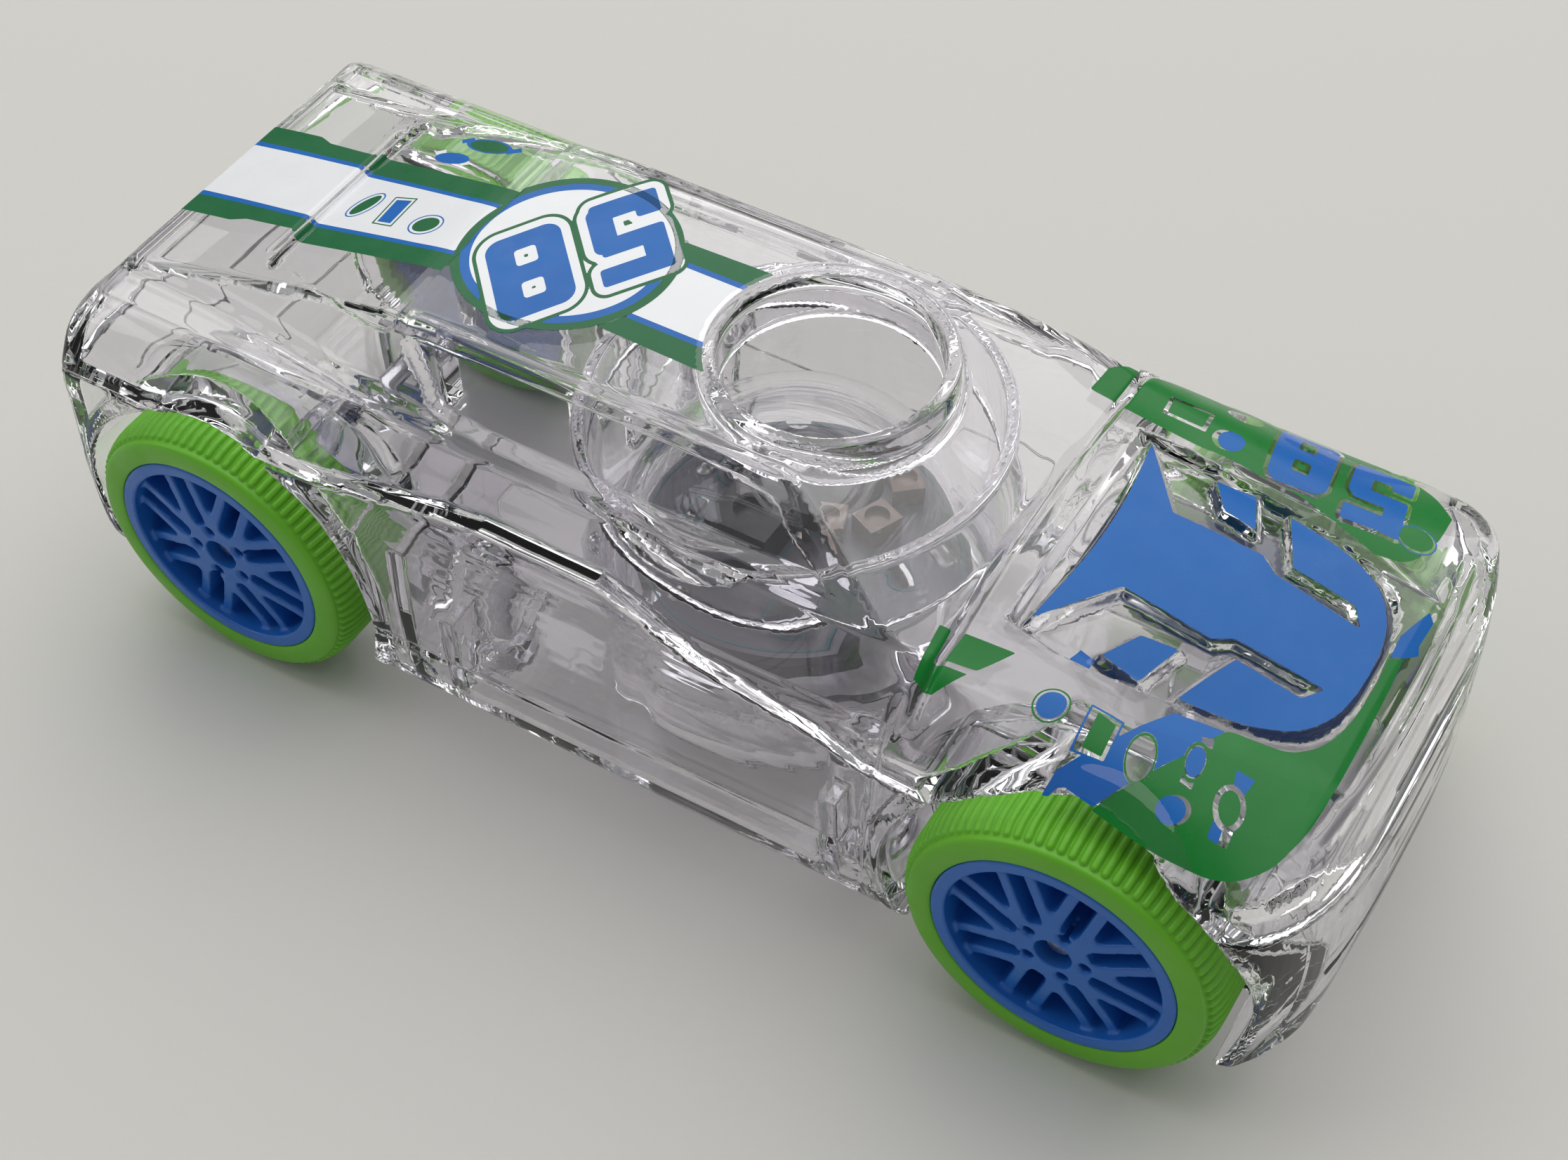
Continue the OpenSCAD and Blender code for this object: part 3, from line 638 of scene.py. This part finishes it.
rim_mesh = surface(rim, (-11, -11, -8.3), (11, 11, 0.5), 0.24, False)
tyre_points, tyre_quads = tyre()
for name, (x, side, turn, body) in WHEELS.items():
    at = np.array([x, side * RIM_FACE, AXLE_Z])
    points, quads, normals = rim_mesh
    turned = wheel_to_model(points, side, turn) + at
    piece = quad_piece("wheel_" + name, turned, quads, wheel_to_model(normals, side, turn))
    place(piece, body, "blue_plastic", RIM, "rim_" + name)
    piece = quad_piece("tread_" + name, wheel_to_model(tyre_points, side, turn) + at, tyre_quads, None)
    place(piece, body, "lime_tyre", TYRE, "tyre_" + name)


# ---------------------------------------------------------------- paint
CASES = {
    1: [(0, 4, 7)], 2: [(1, 5, 4)], 3: [(0, 1, 5, 7)], 4: [(2, 6, 5)], 5: [(0, 4, 5, 2, 6, 7)],
    6: [(1, 2, 6, 4)],
    7: [(0, 1, 2, 6, 7)], 8: [(3, 7, 6)], 9: [(0, 4, 6, 3)], 10: [(1, 5, 6, 3, 7, 4)], 11: [(0, 1, 5, 6, 3)],
    12: [(2, 3, 7, 5)], 13: [(0, 4, 5, 2, 3)], 14: [(1, 2, 3, 7, 4)], 15: [(0, 1, 2, 3)],
}


ROUGH_DX, ROUGH_DY, CLOSER_STEPS = 0.9, 0.8, 7
ROUGH_X, ROUGH_Y = np.arange(-58, 58, ROUGH_DX), np.arange(0, 24, ROUGH_DY)
rough_z = np.full((len(ROUGH_X), len(ROUGH_Y)), 42.4)
for _ in range(40):
    rough_z = rough_z - np.clip(outer_skin(ROUGH_X[:, None], ROUGH_Y[None, :], rough_z) * 0.8, -0.5, 2.5)


def top_of_skin(x, y):
    """Height of the outer skin under each (x, y), from a rough map and a few closer steps."""
    u = np.clip((x - ROUGH_X[0]) / ROUGH_DX, 0, len(ROUGH_X) - 1.001)
    v = np.clip(np.abs(y) / ROUGH_DY, 0, len(ROUGH_Y) - 1.001)
    i, j = u.astype(int), v.astype(int)
    a, b = u - i, v - j
    z = (rough_z[i, j] * (1 - a) * (1 - b) + rough_z[i + 1, j] * a * (1 - b)
         + rough_z[i, j + 1] * (1 - a) * b + rough_z[i + 1, j + 1] * a * b)
    for _ in range(CLOSER_STEPS):
        z = z - np.clip(outer_skin(x, y, z), -0.6, 0.6)
    return z


INK_LIFT, INK_STEP = 0.012, 0.018


def paint(name, field, lo, hi, layer, material, step=0.2):
    """A thin coat of ink on the skin where the plan field is negative, cut by marching squares."""
    xs = np.arange(lo[0], hi[0] + step, step)
    ys = np.arange(lo[1], hi[1] + step, step)
    gx, gy = np.meshgrid(xs, ys, indexing="ij")
    value = np.asarray(field(gx, gy), float)
    value = np.where(np.abs(value) < 1e-6, 1e-6, value)
    nx, ny = len(xs), len(ys)
    ins = value < 0

    def node_id(i, j):
        return i * ny + j

    points = [np.stack([gx.ravel(), gy.ravel()], 1)]
    i, j = np.meshgrid(np.arange(nx - 1), np.arange(ny), indexing="ij")
    t = value[:-1] / np.where(value[:-1] == value[1:], 1, value[:-1] - value[1:])
    points.append(np.stack([(xs[i] + t * step).ravel(), ys[j].ravel()], 1))
    h0 = nx * ny
    i, j = np.meshgrid(np.arange(nx), np.arange(ny - 1), indexing="ij")
    t = value[:, :-1] / np.where(value[:, :-1] == value[:, 1:], 1, value[:, :-1] - value[:, 1:])
    points.append(np.stack([xs[i].ravel(), (ys[j] + t * step).ravel()], 1))
    v0 = h0 + (nx - 1) * ny
    points = np.concatenate(points)
    ci, cj = np.meshgrid(np.arange(nx - 1), np.arange(ny - 1), indexing="ij")
    code = ins[:-1, :-1] * 1 + ins[1:, :-1] * 2 + ins[1:, 1:] * 4 + ins[:-1, 1:] * 8
    slots = np.stack([
        node_id(ci, cj), node_id(ci + 1, cj), node_id(ci + 1, cj + 1), node_id(ci, cj + 1),
        h0 + ci * ny + cj, v0 + (ci + 1) * (ny - 1) + cj, h0 + ci * ny + cj + 1, v0 + ci * (ny - 1) + cj,
    ], -1)
    faces = []
    for number, loops in CASES.items():
        cells = slots[code == number]
        for loop in loops:
            faces += cells[:, list(loop)].tolist()
    used = np.unique(np.concatenate([np.array(f) for f in faces]))
    remap = np.full(len(points), -1)
    remap[used] = np.arange(len(used))
    flat = points[used]
    z = top_of_skin(flat[:, 0], flat[:, 1])
    e = 0.02
    x, y = flat[:, 0], flat[:, 1]
    slope = np.stack([
        outer_skin(x + e, y, z) - outer_skin(x - e, y, z),
        outer_skin(x, y + e, z) - outer_skin(x, y - e, z),
        outer_skin(x, y, z + e) - outer_skin(x, y, z - e),
    ], 1)
    slope /= np.linalg.norm(slope, axis=1)[:, None]
    solid = np.concatenate([flat, z[:, None]], 1) + slope * (INK_LIFT + INK_STEP * layer)
    mesh = bpy.data.meshes.new(name)
    mesh.from_pydata((solid * MM).tolist(), [], [[int(remap[k]) for k in f] for f in faces])
    mesh.validate()
    mesh.polygons.foreach_set("use_smooth", np.ones(len(mesh.polygons), bool))
    mesh.normals_split_custom_set_from_vertices(slope.tolist())
    piece = bpy.data.objects.new(name, mesh)
    bpy.context.scene.collection.objects.link(piece)
    return place(piece, "car_body", "blue_plastic" if material == BLUE else None, material)


def disc(cx, cy, rx, ry=None, turn=0.0):
    ry = ry or rx
    c, s = math.cos(math.radians(turn)), math.sin(math.radians(turn))

    def field(x, y):
        u, v = (x - cx) * c + (y - cy) * s, (y - cy) * c - (x - cx) * s
        return (np.hypot(u / rx, v / ry) - 1) * min(rx, ry)

    return field


def shape(*points):
    return lambda x, y: area(x, y, points)


def curve(*points):
    outline = spline(list(points))
    return lambda x, y: area(x, y, outline)


def join(*fields):
    return lambda x, y: np.minimum.reduce([f(x, y) for f in fields])


def meet(*fields):
    return lambda x, y: np.maximum.reduce([f(x, y) for f in fields])


def cut(field, *holes):
    return lambda x, y: np.maximum.reduce([field(x, y)] + [-h(x, y) for h in holes])


def grow(field, d):
    return lambda x, y: field(x, y) - d


def bar(x0, y0, x1, y1, r=0.35):
    """Rounded box in a glyph's own frame."""
    cx, cy, hx, hy = (x0 + x1) / 2, (y0 + y1) / 2, (x1 - x0) / 2 - r, (y1 - y0) / 2 - r

    def field(u, v):
        a, b = np.abs(u - cx) - hx, np.abs(v - cy) - hy
        return np.hypot(np.maximum(a, 0), np.maximum(b, 0)) + np.minimum(np.maximum(a, b), 0) - r

    return field


FIVE = join(
    bar(0.2, 7.9, 7, 10), bar(0.2, 4.5, 2.6, 10), bar(0.2, 4.5, 6.4, 6.6), bar(4.6, 0.4, 7, 6.2, 0.9),
    bar(0, 0, 6.6, 2.2, 0.5), bar(0, 0, 2.4, 3.1),
)
EIGHT = cut(bar(0, 0, 7, 10, 1.5), bar(2.5, 2.0, 4.5, 4.0), bar(2.5, 6.1, 4.5, 8.0))


def glyph(field, at, along, up, wide=7.0, high=10.0):
    """A glyph drawn with its middle at a point, along and up being the plan directions of its axes."""
    (ax, ay), (ux, uy) = along, up
    det = ax * uy - ay * ux

    def placed(x, y):
        dx, dy = x - at[0], y - at[1]
        u = (dx * uy - dy * ux) / det
        v = (ax * dy - ay * dx) / det
        return field(u * 7.0 / wide + 3.5, v * 10.0 / high + 5.0) * min(wide / 7.0, high / 10.0)

    return placed


def half_width(*pairs):
    """A band about a middle line, its half width given along x."""
    px, pw = [q[0] for q in pairs], [q[1] for q in pairs]

    def field(x, y):
        middle = -0.25 - 0.4 * ramp(x, -30, -5)
        return np.abs(y - middle) - np.interp(x, px, pw)

    return field


# the livery: roof and tail
def run(x, y):
    """Length of the stripe, from the tail to the roof hole."""
    return np.maximum(np.maximum(-56.25 - x, x), HOLE_R + 1.0 - np.hypot(x - HOLE_X, y))


def seam_gap(x, y):
    return np.abs(x + 43.5) - 0.12


wide = half_width((-57, 6.6), (-50.5, 6.5), (-49, 5.9), (-44, 5.7), (-43.4, 6.4), (-27, 5.7), (-12, 6.0),
    (0, 6.3))
inner = half_width((-57, 4.2), (-44, 4.1), (-27, 3.6), (-10, 4.0), (0, 4.0))
white = half_width((-57, 3.6), (-44, 3.6), (-27, 3.1), (-10, 3.4), (0, 3.4))
roundel = disc(-19, -0.1, 9.8, 9.6)
along, up = (-0.55, -0.835), (0.69, -0.72)
digits = join(glyph(FIVE, (-15.4, 3.9), along, up, 6.6, 10.4),
    glyph(EIGHT, (-20.3, -3.6), along, up, 6.8, 10.4))
lo, hi = (-56.4, -7.6), (0.4, 7.6)
paint("ink_stripe_green", cut(meet(wide, run), inner, seam_gap, roundel), lo, hi, 0, DARK_GREEN)
paint("ink_stripe_blue", cut(meet(inner, run), white, seam_gap, roundel), lo, hi, 0, BLUE)
marks = join(disc(-40.4, -0.3, 2.05, 1.0, 70),
             shape((-38.4, 1.5), (-36.2, 1.9), (-36.0, -2.3), (-38.1, -2.4)),
             disc(-33.1, -1.1, 1.6, 1.35, 40))
paint("ink_stripe_white", cut(meet(white, run), seam_gap, roundel, marks), lo, hi, 0, WHITE)
lo, hi = (-42.6, -2.9), (-31, 2.4)
paint("ink_mark_rim_blue", join(cut(disc(-40.4, -0.3, 2.05, 1.0, 70), disc(-40.4, -0.3, 1.9, 0.86, 70)),
      cut(disc(-33.1, -1.1, 1.6, 1.35, 40), disc(-33.1, -1.1, 1.46, 1.2, 40))), lo, hi, 0, BLUE, 0.06)
paint("ink_mark_white", join(cut(disc(-40.4, -0.3, 1.9, 0.86, 70), disc(-40.4, -0.3, 1.65, 0.62, 70)),
      cut(disc(-33.1, -1.1, 1.46, 1.2, 40), disc(-33.1, -1.1, 1.2, 0.95, 40)),
      cut(shape((-38.25, 1.36), (-36.34, 1.72), (-36.16, -2.15), (-37.95, -2.24)),
          shape((-38.0, 1.15), (-36.55, 1.45), (-36.4, -1.9), (-37.75, -2.0)))), lo, hi, 0, WHITE, 0.06)
paint("ink_mark_green", join(disc(-40.4, -0.3, 1.65, 0.62, 70), disc(-33.1, -1.1, 1.2, 0.95, 40),
      cut(shape((-38.4, 1.5), (-36.2, 1.9), (-36.0, -2.3), (-38.1, -2.4)),
          shape((-38.25, 1.36), (-36.34, 1.72), (-36.16, -2.15), (-37.95, -2.24)))), lo, hi, 0,
          DARK_GREEN, 0.06)
paint("ink_mark_blue", shape((-38.0, 1.15), (-36.55, 1.45), (-36.4, -1.9), (-37.75, -2.0)), lo, hi, 0,
    BLUE, 0.1)
lo, hi = (-29.4, -11.6), (-8.6, 11.6)
paint("ink_roundel_green", join(cut(roundel, grow(roundel, -0.8)),
    cut(grow(digits, 1.15), grow(digits, 0.8))), lo, hi, 1,
      DARK_GREEN, 0.12)
paint("ink_roundel_blue", cut(grow(roundel, -0.8), grow(roundel, -1.6), grow(digits, 1.15)), lo, hi, 1,
    BLUE, 0.15)
paint("ink_roundel_white", join(cut(grow(roundel, -1.6), grow(digits, 1.15)),
    cut(grow(digits, 0.8), digits)), lo, hi, 1,
      WHITE, 0.12)
paint("ink_roundel_digits", digits, lo, hi, 1, BLUE, 0.12)
# rear window, far side
lo, hi = (-40, 6.5), (-30, 12.6)
oval_a, oval_b = disc(-37.0, 7.9, 1.75, 0.8, 5), disc(-34.7, 10.4, 2.4, 0.95, 0)
paint("ink_window_green", join(grow(oval_b, -0.15)), lo, hi, 0, DARK_GREEN, 0.1)
paint("ink_window_blue", join(oval_a, cut(oval_b, grow(oval_b, -0.15)),
    shape((-37.9, 10.6), (-36.9, 11.2), (-36.6, 10.7), (-37.5, 10.1)),
      shape((-32.4, 9.8), (-31.2, 10.5), (-31.6, 11.0), (-32.8, 10.4))), lo, hi, 0, BLUE, 0.1)
paint("ink_window_white", cut(join(shape((-39.2, 8.3), (-38.4, 8.9), (-37.9, 8.3), (-38.7, 7.8)),
      shape((-35.6, 7.1), (-34.8, 7.6), (-35.3, 8.1), (-36.0, 7.7))), oval_a), lo, hi, 0, WHITE, 0.1)
# hood
def crown(x, y):
    return np.minimum(area(x, np.abs(y), CROWN), area(x, np.abs(y), SCOOP))


paint("ink_crown_blue", grow(crown, -0.06), (29, -11.4), (53.6, 11.4), 0, BLUE)
paint("ink_scoop_tip", shape((33.2, -11.9), (33.8, -10.1), (35.1, -10.3), (35.0, -11.7)), (33, -12),
    (35.4, -9.8), 0, BLUE, 0.1)
# cowl, near side
paint("ink_cowl_near", join(shape((25.8, -16.9), (26.0, -14.1), (30.1, -13.7), (28.3, -16.5)),
      shape((24.4, -19.2), (24.1, -14.6), (25.0, -14.4), (25.1, -17.4), (27.8, -17.1), (26.1, -19.5))),
      (23.8, -20), (30.4, -13.4), 0, GREEN, 0.12)
# near fender
ring = disc(34.4, -16.2, 1.55, 1.3, 60)
square = shape((37.7, -15.0), (39.3, -15.3), (39.4, -17.9), (37.8, -17.9))
frame_out = shape((36.95, -14.6), (39.75, -14.8), (39.85, -18.3), (37.1, -18.5))
frame_in = shape((37.12, -14.78), (39.6, -14.98), (39.7, -18.12), (37.28, -18.32))
oval_clear = disc(41.95, -16.6, 1.75, 1.0, 100)
oval_blue = disc(45.55, -14.9, 1.35, 0.72, 100)
blue_area = shape((36.9, -20.0), (39.9, -15.9), (42.4, -11.9), (46.3, -11.2), (46.0, -11.8),
    (44.7, -14.8), (40.4, -21.0),
                  (38.0, -20.7), (37.5, -20.9), (37.1, -21.6), (36.6, -21.7))
green_area = curve((46.3, -11.2, 1), (46.8, -10.9), (48.5, -10.6), (50.6, -10.1), (51.9, -9.1),
    (52.8, -7.8), (53.5, -5.6),
                   (53.8, -3), (53.9, 0), (53.7, 2.4, 1), (54.7, 3.2, 1), (54.9, -1), (55.0, -6),
                   (55.0, -12), (54.8, -15.2),
                   (54.4, -17.2), (53.7, -19.2), (52.2, -20.9), (50.5, -21.7), (48.5, -21.9), (45, -21.8),
                   (40.4, -21.2, 1),
                   (44.7, -14.8, 1))
square_low = shape((45.2, -16.3), (46.2, -16.1), (46.2, -17.0), (45.2, -16.9))
square_top = shape((45.0, -12.7), (45.9, -12.4), (46.2, -13.4), (45.4, -13.4))
disc_low = disc(45.55, -18.9, 1.1, 1.0, 30)
moon = disc(45.85, -18.75, 1.15, 1.05, 30)
big_out, big_in = disc(49.2, -16.8, 1.75, 1.2, 110), disc(49.2, -16.8, 1.3, 0.8, 110)
tab_top = shape((48.4, -13.9), (49.9, -13.9), (49.7, -15.6), (48.8, -15.5))
tab_low = shape((48.6, -18.2), (49.7, -18.1), (49.7, -19.5), (48.7, -19.4))
stub = shape((49.4, -17.9), (50.2, -17.9), (50.3, -19.5), (49.6, -19.5))
lo, hi = (32.4, -22.2), (55.4, 3.6)
paint("ink_fender_blue", join(grow(disc(34.4, -16.2, 1.2, 1.0, 60), 0), cut(frame_out, frame_in),
      cut(blue_area, grow(oval_clear, 0.16), grow(oval_blue, 0.2), frame_out, square_top),
      grow(oval_blue, -0.05), disc_low,
      cut(tab_top, big_out), cut(tab_low, big_out, stub)), lo, hi, 0, BLUE, 0.11)
paint("ink_fender_green", join(cut(ring, grow(ring, -0.13)), square, cut(grow(oval_clear, 0.13), oval_clear),
      cut(grow(oval_blue, 0.18), grow(oval_blue, 0.02)),
      cut(green_area, grow(oval_clear, 0.16), grow(oval_blue, 0.2), square_low, square_top, moon,
      disc_low, big_out, tab_top,
          tab_low, stub), big_in), lo, hi, 0, GREEN, 0.11)
paint("ink_nose_blue", shape((53.7, 5.0), (54.1, 6.6), (54.7, 8.7), (55.3, 8.0), (55.2, 5.2), (55.5, 4.4),
    (54.7, 3.3),
      (53.8, 2.6)), (53, 2), (56, 9), 0, BLUE, 0.12)
# far fender
band = curve((25.9, 13.3, 1), (28.5, 13.1), (32.4, 13.0), (35.3, 13.3), (38.6, 13.0), (42, 12.8),
    (45.4, 12.0), (48.9, 11.0, 1),
             (51.5, 11.9), (52.6, 15), (52.6, 19, 1), (50, 21.4), (46, 22.9), (40, 23.3), (34, 22.6),
             (29, 21.2), (25.8, 19.0, 1))
cowl_far = shape((22.9, 13.1), (25.0, 13.4), (24.9, 18.6), (24.0, 18.4), (22.9, 16.6))
plate = shape((28.4, 17.3), (32.3, 17.6), (32.5, 14.9), (28.6, 14.9))
plate_in = shape((28.75, 16.95), (31.95, 17.25), (32.1, 15.25), (28.95, 15.25))
oval_far = disc(34.1, 19.9, 1.6, 1.25, 0)
spot_far = disc(34.7, 15.2, 1.1, 1.15, 0)
moon_far = disc(34.4, 15.1, 1.3, 1.2, 0)
ring_far_out, ring_far_in = disc(51.2, 14.4, 1.65, 1.5), disc(51.1, 14.5, 1.4, 1.25)
far_digits = join(glyph(EIGHT, (40.2, 17.8), (-1, -0.12), (0.18, -1), 5.0, 8.6),
                  glyph(FIVE, (46.9, 17.2), (-1, -0.12), (0.18, -1), 5.0, 8.4))
lo, hi = (22.6, 10.6), (54.2, 23.6)
paint("ink_far_green", join(cut(band, cut(plate, plate_in), oval_far, moon_far, spot_far,
    grow(far_digits, 0.35), ring_far_out),
      cowl_far, ring_far_in), lo, hi, 0, GREEN, 0.14)
paint("ink_far_blue", join(spot_far, far_digits, cut(ring_far_out, grow(ring_far_out, -0.12))), lo, hi, 0,
    BLUE, 0.12)

# ---------------------------------------------------------------- ball shells
def lathe(name, profile, center, segments=160):
    """Solid of revolution about an upright axis, profile of (radius, height)."""
    bm = bmesh.new()
    rings = []
    for k in range(segments):
        a = 2 * math.pi * k / segments
        rings.append([
            bm.verts.new(((center[0] + r * math.cos(a)) * MM, (center[1] + r * math.sin(a)) * MM,
            (center[2] + h) * MM))
            for r, h in profile
        ])
    for k in range(segments):
        one, two = rings[k], rings[(k + 1) % segments]
        for i in range(len(profile)):
            j = (i + 1) % len(profile)
            bm.faces.new((one[i], two[i], two[j], one[j]))
    bmesh.ops.remove_doubles(bm, verts=bm.verts, dist=1e-7)
    bmesh.ops.recalc_face_normals(bm, faces=bm.faces)
    mesh = bpy.data.meshes.new(name)
    bm.to_mesh(mesh)
    bm.free()
    mesh.polygons.foreach_set("use_smooth", np.ones(len(mesh.polygons), bool))
    piece = bpy.data.objects.new(name, mesh)
    bpy.context.scene.collection.objects.link(piece)
    return piece


def arc(r, a0, a1, n):
    return [
        (r * math.cos(math.radians(a0 + (a1 - a0) * i / n)),
        r * math.sin(math.radians(a0 + (a1 - a0) * i / n)))
        for i in range(n + 1)
    ]


ball_in = BALL_R - BALL_WALL
top_profile = arc(BALL_R, 0.3, 90, 48) + arc(ball_in, 90, 0.3, 44)
ball_top = lathe("ball_shell_top", top_profile, (BALL_X, 0, BALL_R))
place(ball_top, "ball", "clear_ball", CLEAR_BALL, "ball_top")
base_profile = arc(BALL_R, -90, -0.3, 48) + arc(ball_in, -0.3, -90, 44)
ball_base = lathe("ball_shell_base", base_profile, (BALL_X, 0, BALL_R))
place(ball_base, "ball", "clear_ball", CLEAR_BALL, "ball_base")
for piece in (ball_top, ball_base):
    sharp = piece.modifiers.new("edges", "EDGE_SPLIT")
    sharp.split_angle = math.radians(40)


# ---------------------------------------------------------------- board details
def relief(name, outlines, low, high, bevel, material):
    """Flat shapes raised from the board, each an outline (and a hole outline) about the ball's middle."""
    bm = bmesh.new()
    for outline, hole in outlines:
        n = len(outline)
        middle = np.mean(outline, 0)
        top = [(p[0] + (middle[0] - p[0]) * bevel, p[1] + (middle[1] - p[1]) * bevel) for p in outline]
        rings = [(outline, low), (outline, (low + high) / 2), (top, high)]
        if hole:
            rings += [(hole, high), (hole, low)]
        verts = [[bm.verts.new(((BALL_X + x) * MM, y * MM, z * MM)) for x, y in ring] for ring, z in rings]
        for one, two in zip(verts, verts[1:] + (verts[:1] if hole else [])):
            for k in range(n):
                bm.faces.new((one[k], one[(k + 1) % n], two[(k + 1) % n], two[k]))
        if not hole:
            bm.faces.new(verts[-1])
            bm.faces.new(verts[0][::-1])
    bmesh.ops.recalc_face_normals(bm, faces=bm.faces)
    mesh = bpy.data.meshes.new(name)
    bm.to_mesh(mesh)
    bm.free()
    piece = bpy.data.objects.new(name, mesh)
    bpy.context.scene.collection.objects.link(piece)
    return place(piece, "ball", None, material)


def rect(x, y, wide_, deep_, turn_, r=0.15):
    """Rounded rectangle outline."""
    c, s = math.cos(math.radians(turn_)), math.sin(math.radians(turn_))
    corners = []
    for sx, sy, start in ((1, 1, 0), (-1, 1, 90), (-1, -1, 180), (1, -1, 270)):
        for k in range(4):
            a = math.radians(start + 30 * k)
            u = sx * (wide_ / 2 - r) + r * math.cos(a)
            v = sy * (deep_ / 2 - r) + r * math.sin(a)
            corners.append((x + u * c - v * s, y + u * s + v * c))
    return corners


def circle(x, y, r, n=40):
    return [(x + r * math.cos(2 * math.pi * k / n), y + r * math.sin(2 * math.pi * k / n)) for k in range(n)]


TEAL = plastic("teal_print", linear(16, 92, 98), linear(10, 78, 86), 0.5, 900, 0.00001)
PAD = metal("tinned_pad", (0.7, 0.69, 0.66), (0.56, 0.55, 0.52), 0.3)
boxes = [(8.6, 0.4, 30), (-3.4, 8.8, 60), (3.6, -5.0, 0), (-8.4, -2.2, 90)]
marks = [(rect(x, y, 2.7, 1.7, t), rect(x, y, 2.4, 1.4, t)) for x, y, t in boxes]
marks += [(rect(-2.6, -2.4, 7.0, 7.0, 0), rect(-2.6, -2.4, 6.6, 6.6, 0)),
          (circle(-7.6, 3.6, 2.3), circle(-7.6, 3.6, 2.1)), (circle(4.6, -7.6, 2.9), circle(4.6, -7.6, 2.65)),
          (circle(0, 0, 13.0, 96), circle(0, 0, 12.8, 96))]
relief("board_print", marks, PCB_TOP, PCB_TOP + 0.04, 0.0, TEAL)
pads = []
for x, y, t in boxes:
    c, s = math.cos(math.radians(t)), math.sin(math.radians(t))
    pads += [(rect(x + k * c, y + k * s, 0.5, 0.9, t, 0.1), None) for k in (-0.95, 0.95)]
pads += [(rect(-2.6 + a, -2.4 + b, 1.0, 0.7, 0, 0.1), None) for a in (-3.6, 3.6) for b in (-1.8, 1.8)]
relief("board_pads", pads, PCB_TOP, PCB_TOP + 0.14, 0.12, PAD)
joint_profile = [(0, 0.75), (0.16, 0.72), (0.3, 0.58), (0.42, 0.36), (0.62, 0.16), (0.95, 0.03),
    (0.95, 0.0), (0, 0.0)]
for k, (x, y) in enumerate([(-10.6, 2.2), (-10.2, 5.0), (10.8, 4.4), (10.4, -3.8), (1.2, 11.2),
    (-4.6, -10.4)]):
    bead = lathe("solder_joint_%d" % (k + 1), joint_profile, (BALL_X + x, y, PCB_TOP), 28)
    place(bead, "ball", None, PAD)

# ---------------------------------------------------------------- floor, light, camera
floor_mesh = bpy.data.meshes.new("floor")
floor_mesh.from_pydata([(-3, -3, 0), (3, -3, 0), (3, 3, 0), (-3, 3, 0)], [], [(0, 1, 2, 3)])
floor = bpy.data.objects.new("floor", floor_mesh)
bpy.context.scene.collection.objects.link(floor)
FLOOR, tree, shader = new_material("floor")
tree.links.new(mixed(tree, noise(tree, 2.5, 2), linear(212, 210, 205), linear(206, 205, 200)),
    shader.inputs["Base Color"])
shader.inputs["Roughness"].default_value = 0.7
shader.inputs["Specular IOR Level"].default_value = 0.15
bump(tree, shader, noise(tree, 1200, 2), 0.00003, 0.5)
floor.data.materials.append(FLOOR)


def area_light(name, at, target, size, power, color=(1, 1, 1), shape="RECTANGLE", size_y=None):
    data = bpy.data.lights.new(name, "AREA")
    data.shape = shape
    data.size = size
    data.size_y = size_y or size
    data.energy = power
    data.color = color
    light = bpy.data.objects.new(name, data)
    light.location = at
    light.rotation_euler = (Vector(target) - Vector(at)).to_track_quat("-Z", "Y").to_euler()
    bpy.context.scene.collection.objects.link(light)
    return light


area_light("ceiling", (-0.1, 0.45, 0.9), (0, 0, 0), 1.5, 12.2, (1, 0.995, 0.98))
area_light("window", (-0.7, -0.35, 0.5), (0, 0, 0.02), 0.4, 0.9, (0.97, 0.98, 1))
world = bpy.data.worlds.new("world")
bpy.context.scene.world = world
world.use_nodes = True
background = world.node_tree.nodes["Background"]
background.inputs["Color"].default_value = (0.86, 0.87, 0.88, 1)
background.inputs["Strength"].default_value = 0.31

CAMERA_AT, CAMERA_TURN, LENS = (0.0782, -0.1221, 0.1768), (41.17, 1.08, 31.02), 56.8
camera_data = bpy.data.cameras.new("camera")
camera = bpy.data.objects.new("camera", camera_data)
bpy.context.scene.collection.objects.link(camera)
camera_data.sensor_width = 36
camera_data.lens = LENS
camera_data.clip_start = 0.005
camera.location = CAMERA_AT
camera.rotation_euler = [math.radians(a) for a in CAMERA_TURN]
scene = bpy.context.scene
scene.camera = camera
scene.view_settings.view_transform = "Standard"
scene.cycles.max_bounces = 28
scene.cycles.transmission_bounces = 26
scene.cycles.glossy_bounces = 8
scene.cycles.transparent_max_bounces = 24
